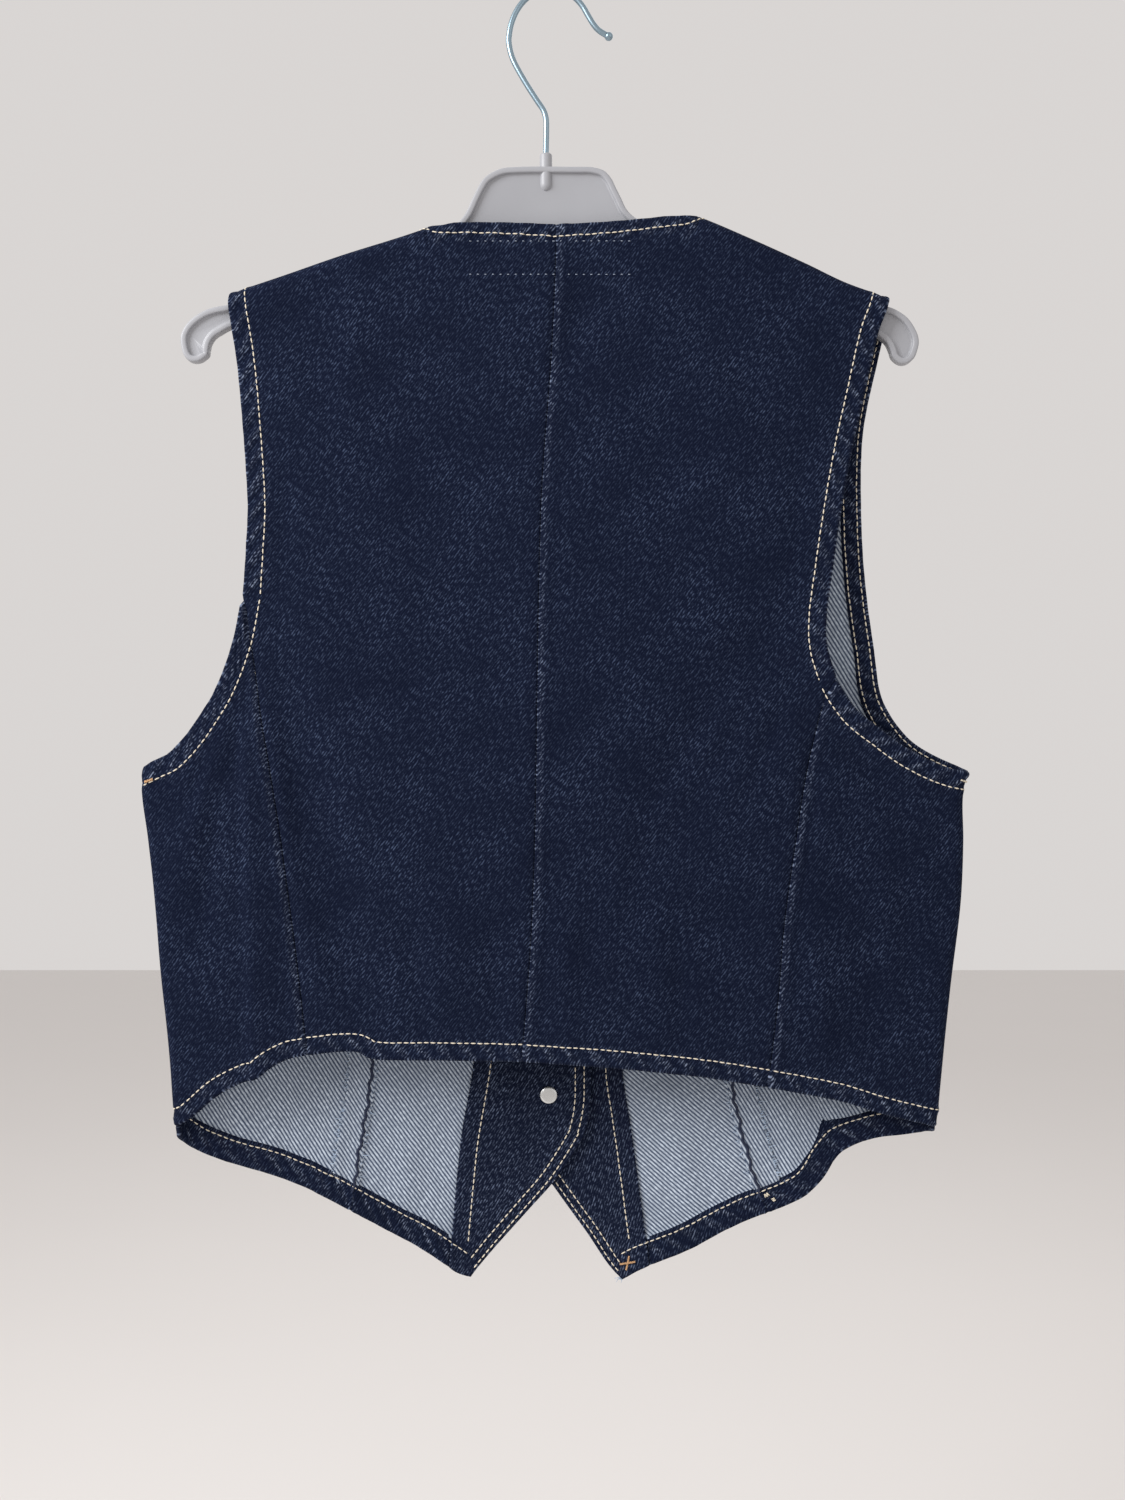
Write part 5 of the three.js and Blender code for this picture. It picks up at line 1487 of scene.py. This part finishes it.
@dataclass(frozen=True)
class Hanger:
    """A moulded plastic hanger: a thin web inside a raised rim, and a boss that holds the hook."""

    arm_drop: float = 5.4  # an arm's top lies this far under the cloth's fold
    steps: int = 9
    # The rim's section, from its middle line over the edge to the web: (inset, half thickness).
    section: tuple[tuple[float, float], ...] = (
        (0.0, 0.0), (0.0, 2.2), (0.12, 2.6), (0.4, 2.95), (0.85, 3.1), (2.2, 3.1), (2.6, 2.98),
        (2.86, 2.7), (3.0, 2.3), (3.12, 1.6), (3.4, 1.28), (3.9, 1.2),
    )
    boss_x: float = -1.0
    boss_profile: tuple[tuple[float, float], ...] = (
        (0.4, -96), (1.4, -95.6), (2.3, -94.7), (2.8, -93.7), (3.0, -92.6), (3.0, -78.6),
        (2.85, -78), (2.5, -77.6), (1.7, -77.5), (1.7, -80.0),
    )

    def outline(self) -> np.ndarray:
        """The hanger's silhouette, clockwise."""
        def arm(places: Sequence[float]) -> np.ndarray:
            x = np.array(places, float)
            return np.stack([x, SHOULDER_FOLD.smooth("x", "z", x) - self.arm_drop], -1)

        rows = [
            HANGER_NECK.rows, arm((73, 96, 125, 144, 158)), HANGER_END_RIGHT.rows,
            HANGER_UNDER.rows, HANGER_END_LEFT.rows, arm((-155, -135, -115, -90, -66)),
        ]
        return through(np.concatenate(rows), self.steps, closed=True)

    @staticmethod
    def room(line: np.ndarray, way: np.ndarray) -> np.ndarray:
        """How far in the rim may reach at each place without crossing itself at a tight bend."""
        before, after = np.roll(way, 3, axis=0), np.roll(way, -3, axis=0)
        turn = before[:, 1] * after[:, 0] - before[:, 0] * after[:, 1]
        run = np.linalg.norm(np.roll(line, -3, axis=0) - np.roll(line, 3, axis=0), axis=1)
        free = np.where(turn > 1e-3, 0.72 * run / np.maximum(turn, 1e-3), 20.0)
        free = np.minimum.reduce([np.roll(free, k) for k in range(-8, 9)])
        return np.mean([np.roll(np.minimum(free, 5.0), k) for k in range(-8, 9)], axis=0)

    def mesh(self) -> MeshData:
        """The plate with its rim, and its boss."""
        line = self.outline()
        way = unit(np.roll(line, -1, axis=0) - np.roll(line, 1, axis=0))
        inward = np.stack([way[:, 1], -way[:, 0]], -1)
        rows = [(d, -h) for d, h in reversed(self.section[1:])] + list(self.section)
        room = self.room(line, way)
        points = []
        for inset, height in rows:
            seen_from_back = line + inward * np.minimum(inset, room)[:, None]
            depth = np.full(len(line), float(height))
            points.append(np.stack([seen_from_back[:, 0], depth, seen_from_back[:, 1]], -1))
        size = len(line)
        faces = []
        for k in range(len(rows) - 1):
            for i in range(size):
                j = (i + 1) % size
                faces.append([k * size + i, (k + 1) * size + i, (k + 1) * size + j, k * size + j])
        faces.append([i for i in range(size)])
        faces.append([(len(rows) - 1) * size + i for i in reversed(range(size))])
        boss = revolved(self.boss_profile, 40)
        boss.points[:, 0] += self.boss_x
        return MeshData(np.concatenate(points), faces).joined(boss)


@dataclass(frozen=True)
class Hook:
    """The wire hook; the inside of its top is the origin."""

    wire: float = 2.8
    centre_x: float = 1.5
    centre_z: float = -24.0
    across: float = 20.4
    start: float = 180.0
    stop: float = 32.0
    ball: float = 2.05

    def mesh(self) -> MeshData:
        """The bent wire with its ball tip."""
        angles = np.radians(np.linspace(self.start, self.stop, 19))
        arc_x = self.centre_x + self.across * np.cos(angles)
        arc_z = self.centre_z + (self.wire / 2 - self.centre_z) * np.sin(angles)
        flat = np.concatenate([HOOK_STEM.rows, np.stack([arc_x, arc_z], -1), HOOK_FLARE.rows])
        path = through(np.stack([flat[:, 0], np.zeros(len(flat)), flat[:, 1]], -1), 6, closed=False)
        end, before = path[-1], path[-2]
        way = unit((end - before)[None])[0]
        turns = np.linspace(-0.82, 1.45, 12)
        tip = end + way * (self.ball * np.sin(turns))[:, None]
        radii = np.concatenate([np.full(len(path) - 1, self.wire / 2), self.ball * np.cos(turns)])
        return tube(np.concatenate([path[:-1], tip]), radii, 20)


@dataclass(frozen=True)
class Fastenings:
    """Jeans buttons up the centre front, and the tacks that hold them from inside."""

    heights: tuple[float, ...] = (-318.5, -392.5, -466.5, -540.5)
    lap: float = 3.6
    cap: tuple[tuple[float, float], ...] = (
        (2.2, -3.6), (2.2, 0.0), (7.9, 0.0), (8.3, 0.15), (8.5, 0.6), (8.4, 1.0), (8.0, 1.3),
        (7.5, 1.35), (7.2, 1.3), (6.6, 1.75), (5.2, 2.25), (3.4, 2.52), (1.6, 2.6), (0.2, 2.6),
    )
    head: tuple[tuple[float, float], ...] = (
        (0.2, -1.1), (3.2, -1.1), (3.5, -1.08), (3.75, -0.9), (4.1, -0.78), (4.35, -0.55),
        (4.4, -0.25), (4.3, 0.0), (1.2, 0.0), (1.2, 3.2),
    )

    def placed(self, data: MeshData, height: float, out: float) -> MeshData:
        """A turned piece stood on the under front at a height."""
        flat = np.array([0.0, height])
        normal = FORM.normal(Face.UNDER, flat)
        place = FORM.point(Face.UNDER, flat) + normal * out
        turn = np.array(Vector(normal).to_track_quat("Z", "Y").to_matrix())
        return MeshData(data.points @ turn.T + place, data.faces)

    def buttons(self) -> list[MeshData]:
        """The four buttons."""
        cap = revolved(self.cap, 48)
        return [self.placed(cap, height, self.lap + GAP) for height in self.heights]

    def tacks(self) -> list[MeshData]:
        """The four tacks, whose heads lie on the under front's facing."""
        head = revolved(self.head, 40)
        return [self.placed(head, height, -(2 * WALL + 2 * GAP)) for height in self.heights]


# Raw warp-faced twill: nearly black indigo ridges, and the white weft as fine flecks, paler where
# rubbed and under painted highlight on ridges.
OUTER_DENIM = TwillFinish("Raw indigo denim", "#0E1427", "#46526B", 54, 1.2, 0.03, "#8792A8")
# Its wrong side is mostly undyed weft, with thin dark lines of warp.
WRONG_SIDE = TwillFinish("Denim wrong side", "#33405A", "#C3CEDB", -58, 1.7, 0.75, "#CDD6E0", 0.12)
# Polystyrene from a polished mould: even, with a soft gloss.
PLASTIC = PlainFinish("Moulded polystyrene", "#9D9EA3", 0.4, mottle=0.04, tone=0.02, grain=12)
# Bright zinc plating with a blue passivated tint.
WIRE_ZINC = PlainFinish("Blue zinc plated wire", "#8FA3AF", 0.36, 1.0, 0.02, 0.04, 14)
# Nickel over a pressed cap: pale and bright, with fine clouds.
TIN = PlainFinish("Nickel plated tack", "#D4D5D4", 0.34, 1.0, 0.06, 0.05, 1.5)
# Pressed metal, darkened and rubbed back: its gloss and tone wander.
ANTIQUED = PlainFinish("Antiqued button metal", "#8D8A84", 0.4, 1.0, 0.1, 0.2, 1.2)
# Spun polyester thread, whose slight fuzz hides any gloss.
TAN_THREAD = PlainFinish("Tan topstitch thread", "#DDD3BF", 0.8, mottle=0.05, tone=0.22, grain=1.6)
PALE_THREAD = PlainFinish("Pale label thread", "#8D97A8", 0.8, mottle=0.05, tone=0.2, grain=1.6)
RUST_THREAD = PlainFinish("Bar tack thread", "#C79E74", 0.8, mottle=0.05, tone=0.2, grain=1.6)
# Near black: a painted shadow line down the front seams, and the dark slits of the buttonholes.
SHADOW_AND_SLIT_THREAD = PlainFinish(
    "Painted seam shadow and slit thread", "#18213A", 0.85, mottle=0.05, tone=0.15, grain=1.6
)
# Undyed cotton pulled from the weave, without a twist: pale and matt.
RAW_YARN = PlainFinish("Frayed weft yarn", "#A9BBD2", 0.85, mottle=0.05, tone=0.25, grain=3)
PALE_FLOOR = PlainFinish("Painted studio floor", "#E3E0DE", 0.9, tone=0.01, grain=300)

ROWS = (
    Row("back_centre_left", "left", "armhole", (8.8, 8.8)),
    Row("back_centre_left", "top", "neck", (5.0, 6.4), (1.0, 0)),
    Row("back_centre_left", "bottom", "hem", (8.9, 8.9)),
    Row("back_centre_right", "right", "armhole", (8.8, 8.8)),
    Row("back_centre_right", "top", "neck", (6.4, 5.0), (0, 1.0)),
    Row("back_centre_right", "bottom", "hem", (8.9, 8.9)),
    Row("back_side_left", "top", "armhole", (8.8, 8.8)),
    Row("back_side_left", "bottom", "hem", (8.9, 8.9)),
    Row("back_side_right", "top", "armhole", (8.8, 8.8)),
    Row("back_side_right", "bottom", "hem", (8.9, 8.9)),
    Row("front_side_left", "left", "armhole", (8.8, 8.8)),
    Row("front_side_left", "left", "armhole", (2.4, 2.4)),
    Row("front_side_left", "bottom", "hem", (11.6, 11.6)),
    Row("front_side_right", "right", "armhole", (8.8, 8.8)),
    Row("front_side_right", "right", "armhole", (2.4, 2.4)),
    Row("front_side_right", "bottom", "hem", (11.6, 11.6)),
    Row("front_centre_left", "bottom", "hem", (11.6, 11.6), (0.3, -4.0)),
    Row("front_centre_left", "right", "edge", (3.6, 3.4), (3.0, 0.4)),
    Row("front_centre_left", "right", "edge", (8.2, 7.8), (3.0, 1.2)),
    Row("front_centre_left", "bottom", "diagonal", (1.5, 2.9), (5.0, 0.6)),
    Row("front_centre_left", "bottom", "diagonal", (5.8, 7.6), (8.0, 1.4)),
    Row("front_centre_left", "guide", "facing", (8.0, 8.0), (4.0, 15.0)),
    Row("front_centre_right", "bottom", "hem", (11.6, 11.6), (-9.0, 0.3)),
    Row("front_centre_right", "left", "edge", (2.4, 2.2), (3.0, 0.4)),
    Row("front_centre_right", "left", "edge", (6.4, 5.8), (3.0, 1.0)),
    Row("front_centre_right", "bottom", "diagonal", (2.2, 2.0), (0.4, 5.0)),
    Row("front_centre_right", "bottom", "diagonal", (5.6, 5.6), (1.0, 8.0)),
    Row("front_centre_right", "guide", "facing", (8.0, 8.0), (4.0, 15.0)),
)
HEMMED = TURN + STEP
FRONT_HEMMED = FRONT_TURN + STEP
# Panel, side, piece of its outline, and where the allowance starts and stops short of its ends.
ALLOWANCES = (
    ("back_centre_right", "left", "seam", (HEMMED, HEMMED)),
    ("back_side_left", "right", "seam", (48.0, HEMMED)),
    ("back_side_right", "left", "seam", (26.0, HEMMED)),
    ("back_side_left", "left", "side", (HEMMED, HEMMED)),
    ("back_side_right", "right", "side", (HEMMED, HEMMED)),
    ("front_side_left", "right", "seam", (1.0, FRONT_HEMMED)),
    ("front_side_right", "left", "seam", (1.0, FRONT_HEMMED)),
    ("back_centre_left", "top", "shoulder", (HEMMED, HEMMED)),
    ("back_centre_right", "top", "shoulder", (HEMMED, HEMMED)),
)


@dataclass(frozen=True)
class Bar:
    """One bar tack: close stitches side by side."""

    face: Face
    place: tuple[float, float]
    angle: float  # degrees, the way the bar runs
    length: float
    width: float
    inside: bool = False
    deep: float = 0.25  # how far its thread lies off the face
    pitch: float = 0.62
    radius: float = 0.3
    lean: float = 0.25  # how far its stitches slant, by turns to either side
    crown: float = 0.35  # how far a stitch's middle stands over its ends


def holes(width: float, length: float, deep: float) -> tuple[Bar, ...]:
    """A bar of stitches on the outer front at each button, running away from its edge."""
    middle = 5.5
    return tuple(
        Bar(Face.OVER, (middle, z), 0, length, width, deep=deep) for z in Fastenings().heights
    )


BARS = (
    Bar(Face.OVER, (40.5, -627.0), 78, 7.0, 0.9, inside=True, deep=2 * WALL + 0.3),
    Bar(Face.OVER, (40.5, -627.0), 12, 7.5, 0.9, inside=True, deep=2 * WALL + 0.5),
    Bar(Face.BACK, (-193.5, -380.5), 20, 4.0, 1.2),
)
KNOTS = (
    Bar(Face.OVER, (110.0, -590.0), 30, 2.2, 1.8, inside=True, deep=WALL + 1.6),
    Bar(Face.OVER, (113.5, -592.5), -50, 1.8, 1.6, inside=True, deep=WALL + 1.6),
    Bar(Face.BACK, (202.0, -380.8), -15, 3.6, 0.7),
)


@dataclass(frozen=True)
class Sewing:
    """Rows of single stitches in one thread."""

    pitch: float = 3.3
    length: float = 2.55
    radius: float = 0.34
    rise: float = 0.22
    sides: int = 6
    rings: tuple[float, ...] = (-1.0, -0.72, -0.25, 0.25, 0.72, 1.0)

    def row(self, points: np.ndarray, normals: np.ndarray) -> MeshData:
        """One row of stitches along a line on the cloth.

        Args:
            points: places along the line, on the cloth's surface.
            normals: out of the cloth there.

        Returns:
            The stitches as one mesh.
        """
        steps = np.linalg.norm(np.diff(points, axis=0), axis=1)
        run = np.concatenate([[0.0], np.cumsum(steps)])
        gap = self.pitch - self.length
        count = max(round((run[-1] + gap) / self.pitch), 1)
        starts = (run[-1] + gap) / count * np.arange(count) + gap / 2
        rings = np.array(self.rings)
        at = starts[:, None] + self.length * (rings + 1) / 2
        centre = np.stack([np.interp(at, run, points[:, k]) for k in range(3)], -1)
        up = unit(np.stack([np.interp(at, run, normals[:, k]) for k in range(3)], -1))
        way = unit(centre[:, -1:] - centre[:, :1])
        side = unit(np.cross(way, up))
        full = np.sqrt(np.maximum(1 - rings**2, 0.12))[None, :, None]
        centre = centre + up * (self.rise * (1.6 * full - 1))
        turns = 2 * math.pi * np.arange(self.sides) / self.sides
        around = np.cos(turns)[:, None] * side[:, :, None] + np.sin(turns)[:, None] * up[:, :, None]
        mesh = centre[:, :, None] + around * (self.radius * full)[..., None]
        one = ring_faces(len(rings), self.sides)
        firsts = np.arange(count) * self.sides * len(rings)
        faces = [[int(first) + i for i in face] for first in firsts for face in one]
        return MeshData(mesh.reshape(-1, 3), faces)

    def hairs(self, roots: np.ndarray, ways: np.ndarray, seed: int, reach: float) -> MeshData:
        """Short bent yarns that stand out of a raw edge.

        Args:
            roots: where each one starts.
            ways: the direction that it mostly takes.
            seed: fixes their bends.
            reach: the longest one's length.

        Returns:
            All of them as one mesh.
        """
        draw = np.random.default_rng(seed)
        parts = []
        for root, way in zip(roots, ways):
            length = reach * draw.uniform(0.3, 1.0)
            bent, swerve = draw.normal(0, 0.35, 3), draw.normal(0, 0.3, 3)
            t = np.linspace(0, 1, 5)[:, None]
            path = root + length * (t * (way + bent) + t**2 * swerve)
            parts.append(tube(path, self.radius * (1 - 0.6 * t[:, 0]), 4))
        return parts[0].joined(*parts[1:])


class Vest:
    """The vest and its hanger as Blender objects."""

    REACH = 7.0  # mm over which a stitch looks for the cloth that it lies on
    LABEL_HEIGHTS = (-121.5, -137.5)
    LABEL_SPAN = (-39, 42)
    FRAYED_SPAN = (0.6, 0.965)  # shares of a front seam that show below the back's hem
    FRAYED_YARNS = 260
    TUFT_YARNS = 26
    TUFT_PLACE = (38.5, -635)
    TUFT_WAY = (-0.8, -0.2, -0.5)
    FRAYED_EDGES = ((ALLOWANCE, 1.0, 2.6), (-0.8, -1.0, 2.4))  # inset, side, longest yarn
    YARN_LIFT = 0.7  # mm off the cloth
    YARN_DROOP = 0.25
    # The painted shadow line down each front seam inside.
    SEAM_LIFT = 1.5
    SEAM_INSET = 0.3
    SEAM_WAVES = ((0.5, 0.9, 0.0), (0.4, 0.37, 1.0))  # height in mm, rate per mm, start
    SEAM_SPAN = (0.03, 0.985)
    SEAM_RADIUS = 0.75
    SEAM_STEPS = 300

    def __init__(self) -> None:
        """Lays out the pattern."""
        self.pattern = Pattern()
        self.walls: dict[Face, list[MeshData]] = {face: [] for face in Face}

    def cloth(self) -> None:
        """Builds every cloth piece."""
        sides = [OUTER_DENIM.material(), WRONG_SIDE.material()]
        for panel in self.pattern.panels():
            strips = [panel.allowance(*rest) for name, *rest in ALLOWANCES if name == panel.name]
            data = panel.mesh().joined(*strips)
            self.walls[panel.face].append(data)
            piece = data.object(panel.name + "_cloth", sides)
            self.hang(piece, panel.name, self.flat_size(panel.flat_grid))
            log.info("%s with %d allowances", panel.name, len(strips))
        for side in ("left", "right"):
            panel = getattr(self.pattern, f"front_centre_{side}")
            first, last = getattr(self.pattern, f"facing_columns_{side}")
            name = f"facing_{side}"
            data = panel.lining(first, last)
            self.walls[panel.face].append(data)
            piece = data.object(name + "_cloth", sides)
            self.hang(piece, name, self.flat_size(panel.flat_grid[first : last + 1]))

    def thread(self) -> None:
        """Sews the topstitching, inside and outside, and the small rows that hold the label."""
        sewing = Sewing()
        trees = {}
        for face, walls in self.walls.items():
            data = walls[0].joined(*walls[1:])
            trees[face] = BVHTree.FromPolygons(data.points.tolist(), data.faces)
        outside, inside = [], []
        for row in ROWS:
            panel = getattr(self.pattern, row.panel)
            points, normals = panel.follow(row)
            tree = trees[panel.face]
            outside.append(sewing.row(self.laid(tree, points, normals), normals))
            inside.append(sewing.row(self.laid(tree, points, -normals), -normals))
        tan = TAN_THREAD.material()
        for name, rows in (("topstitching_outside", outside), ("topstitching_inside", inside)):
            self.sewn(rows, name, tan)
        label = Sewing(pitch=3.6, length=1.1, radius=0.24, rise=0.12)
        rows = []
        for height in self.LABEL_HEIGHTS:
            flat = np.stack([np.linspace(*self.LABEL_SPAN, 60), np.full(60, height)], -1)
            rows.append(label.row(FORM.point(Face.BACK, flat), FORM.normal(Face.BACK, flat)))
        self.sewn(rows, "label_stitches", PALE_THREAD.material())
        self.frayed()
        self.tacked()

    @staticmethod
    def laid(tree: BVHTree, points: np.ndarray, out: np.ndarray) -> np.ndarray:
        """Places moved along a direction to the first cloth met from that side."""
        reach, landed = Vest.REACH, []
        for place, way in zip(points, out):
            hit = tree.ray_cast(Vector(place + way * reach), Vector(-way), 2 * reach)[0]
            landed.append(place if hit is None else np.array(hit))
        return np.array(landed)

    def frayed(self) -> None:
        """The raw edges' loose yarns, down the fronts' allowances and at one point, and a painted
        shadow line down each front seam.
        """
        parts, lines = [], []
        yarn = Sewing(radius=0.2)
        for seed, (panel, side) in enumerate(
            ((self.pattern.front_side_left, "right"), (self.pattern.front_side_right, "left"))
        ):
            outline = getattr(panel, side)
            draw = np.random.default_rng(seed + 5)
            t = np.sort(draw.uniform(*self.FRAYED_SPAN, self.FRAYED_YARNS))
            across = panel.inwards(outline, t, None)
            # A dark tube down each front seam: painted shadow.
            lines.append(self.seam_shadow_line(panel, outline))
            for far, sign, reach in self.FRAYED_EDGES:
                flat = outline.at(t) + across * far
                normals = FORM.normal(panel.face, flat)
                roots = FORM.point(panel.face, flat) - normals * (WALL + self.YARN_LIFT)
                ahead = FORM.point(panel.face, flat + across * sign) - FORM.point(panel.face, flat)
                ways = unit(ahead - self.YARN_DROOP * normals)
                parts.append(yarn.hairs(roots, ways, seed + 9, reach))
        point = FORM.point(Face.OVER, FORM.unrolled(table(XZ, self.TUFT_PLACE)))
        ways = np.array([self.TUFT_WAY] * self.TUFT_YARNS)
        parts.append(yarn.hairs(np.repeat(point, self.TUFT_YARNS, axis=0), ways, 3, 4.0))
        self.sewn(parts, "frayed_yarns", RAW_YARN.material())
        # The dark tubes are a painted shadow along the raw edges.
        self.sewn(lines, "seam_shadow_lines", SHADOW_AND_SLIT_THREAD.material())

    @staticmethod
    def seam_shadow_line(panel: Panel, outline: Outline) -> MeshData:
        """A dark tube that wavers down a front seam inside: a painted shadow along the allowance's
        raw edge.
        """
        t = np.linspace(*Vest.SEAM_SPAN, Vest.SEAM_STEPS)
        place = t * outline.length
        waver = sum(high * np.sin(place * rate + start) for high, rate, start in Vest.SEAM_WAVES)
        across = panel.inwards(outline, t, None) * (Vest.SEAM_INSET + waver)[:, None]
        flat = outline.at(t) + across
        off = FORM.normal(panel.face, flat) * (WALL + Vest.SEAM_LIFT)
        path = FORM.point(panel.face, flat) - off
        return tube(path, np.full(len(t), Vest.SEAM_RADIUS), 6)

    def tacked(self) -> None:
        """Bar tacks where a seam is pulled, knots and a loose end, and the worked buttonholes."""
        works = (
            ("bar_tacks", BARS, RUST_THREAD),
            ("seam_knots", KNOTS, TAN_THREAD),
            ("buttonhole_stitches", holes(width=4.6, length=21.0, deep=0.2), TAN_THREAD),
            ("buttonhole_slits", holes(width=0.9, length=18.0, deep=0.62), SHADOW_AND_SLIT_THREAD),
        )
        for name, bars, finish in works:
            parts = [part for bar in bars for part in self.stitched(bar)]
            self.sewn(parts, name, finish.material())

    @staticmethod
    def stitched(bar: Bar) -> list[MeshData]:
        """The stitches of one bar."""
        parts = []
        turn = math.radians(bar.angle)
        way = np.array([math.cos(turn), math.sin(turn)])
        along = np.arange(-bar.length / 2, bar.length / 2, bar.pitch)
        middle = FORM.unrolled(table(XZ, bar.place))[0]
        for k, step in enumerate(along):
            lean = bar.lean * (-1) ** k
            ends = np.array([-1.0, -0.5, 0.0, 0.5, 1.0])[:, None] * bar.width / 2
            flat = middle + way * (step + lean * ends) + np.array([-way[1], way[0]]) * ends
            up = FORM.normal(bar.face, flat) * (-1 if bar.inside else 1)
            lift = bar.deep + bar.crown * (1 - (ends / bar.width * 2) ** 2)
            path = FORM.point(bar.face, flat) + up * lift
            parts.append(tube(path, np.full(len(path), bar.radius), 5))
        return parts

    @staticmethod
    def sewn(parts: Sequence[MeshData], name: str, material: bpy.types.Material) -> None:
        """Adds a piece of thread work from its parts."""
        data = parts[0].joined(*parts[1:])
        piece = data.object(name, [material])
        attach(piece, "root")
        log.info("%s: %d faces", name, len(data.faces))

    @staticmethod
    def flat_size(flat: np.ndarray) -> tuple[float, float, float]:
        """Width and length of a flat cut in metres, and its area in square metres."""
        low, high = flat.reshape(-1, 2).min(0), flat.reshape(-1, 2).max(0)
        first = flat[1:, 1:] - flat[:-1, :-1]
        second = flat[:-1, 1:] - flat[1:, :-1]
        area = np.abs(first[..., 0] * second[..., 1] - first[..., 1] * second[..., 0]).sum() / 2
        width, length = (high - low) * MM
        return float(width), float(length), float(area) * MM * MM

    @staticmethod
    def hang(piece: bpy.types.Object, node: str, size: tuple[float, float, float]) -> None:
        """Attaches a cloth piece to the root and hides the model part that it stands in for."""
        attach(piece, "root")
        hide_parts(node)

    @staticmethod
    def hardware() -> None:
        """Builds buttons, tacks, hanger and hook."""
        fastenings = Fastenings()
        button, tack = ANTIQUED.material(), TIN.material()
        pieces = [("hanger", Hanger().mesh(), PLASTIC.material(), "hanger_plastic")]
        pieces.append(("hook", Hook().mesh(), WIRE_ZINC.material(), "hook_wire"))
        for i, data in enumerate(fastenings.buttons(), 1):
            pieces.append((f"button_{i}", data, button, "button_metal"))
        for i, data in enumerate(fastenings.tacks(), 1):
            pieces.append((f"tack_{i}", data, tack, "tack_metal"))
        for node, data, material, slot in pieces:
            piece = data.object(node + "_piece", [material])
            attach(piece, "root")
            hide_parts(node)
            log.info("%s: %d faces", node, len(data.faces))


@dataclass(frozen=True)
class Studio:
    """Soft light, a pale floor and the camera."""

    floor_z: float = -1.2
    camera_place: tuple[float, float, float] = (0.007, -0.71369, -0.34473)
    camera_down: float = 1.7
    lens: float = 35.0

    def build(self) -> None:
        """Adds everything round the object."""
        scene = bpy.context.scene
        scene.view_settings.view_transform = "Standard"
        self.floor()
        self.light("Key softbox", (-1.15, -0.7, 0.35), 0.8, 25.0)
        self.light("Fill softbox", (1.1, -1.2, 0.2), 1.4, 3.0)
        self.light("Far softbox", (0.2, 1.4, 0.8), 1.5, 8.0)
        world = bpy.data.worlds.new("Pale studio")
        world.use_nodes = True
        world.node_tree.nodes.clear()
        sky = add_node(
            world.node_tree, "ShaderNodeBackground", {"Color": linear("#EDE9E7"), "Strength": 0.82}
        )
        add_node(world.node_tree, "ShaderNodeOutputWorld", {"Surface": sky.outputs["Background"]})
        scene.world = world
        data = bpy.data.cameras.new("Camera")
        data.sensor_fit, data.sensor_height, data.sensor_width = "VERTICAL", 36.0, 36.0
        data.lens = self.lens
        camera = bpy.data.objects.new("Camera", data)
        camera.location = self.camera_place
        camera.rotation_euler = (math.radians(90 - self.camera_down), 0.0, 0.0)
        scene.collection.objects.link(camera)
        scene.camera = camera

    def floor(self) -> None:
        """A wide pale floor well below the hem."""
        half, z = 4000.0, self.floor_z / MM
        corners = np.array([[-half, -half, z], [half, -half, z], [half, half, z], [-half, half, z]])
        floor = MeshData(corners, [[0, 1, 2, 3]]).object("Studio floor", [PALE_FLOOR.material()])

    @staticmethod
    def light(name: str, place: tuple[float, float, float], size: float, power: float) -> None:
        """A square soft light aimed at the vest."""
        data = bpy.data.lights.new(name, "AREA")
        data.size, data.energy = size, power
        lamp = bpy.data.objects.new(name, data)
        lamp.location = place
        aim = Vector((0.0, 0.0, -0.33)) - Vector(place)
        lamp.rotation_euler = aim.to_track_quat("-Z", "Y").to_euler()
        bpy.context.scene.collection.objects.link(lamp)


def main() -> None:
    """Builds the scene."""
    logging.basicConfig(level=logging.INFO, format="%(name)s: %(message)s")
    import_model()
    vest = Vest()
    vest.cloth()
    vest.thread()
    vest.hardware()
    Studio().build()


if __name__ == "__main__":
    main()
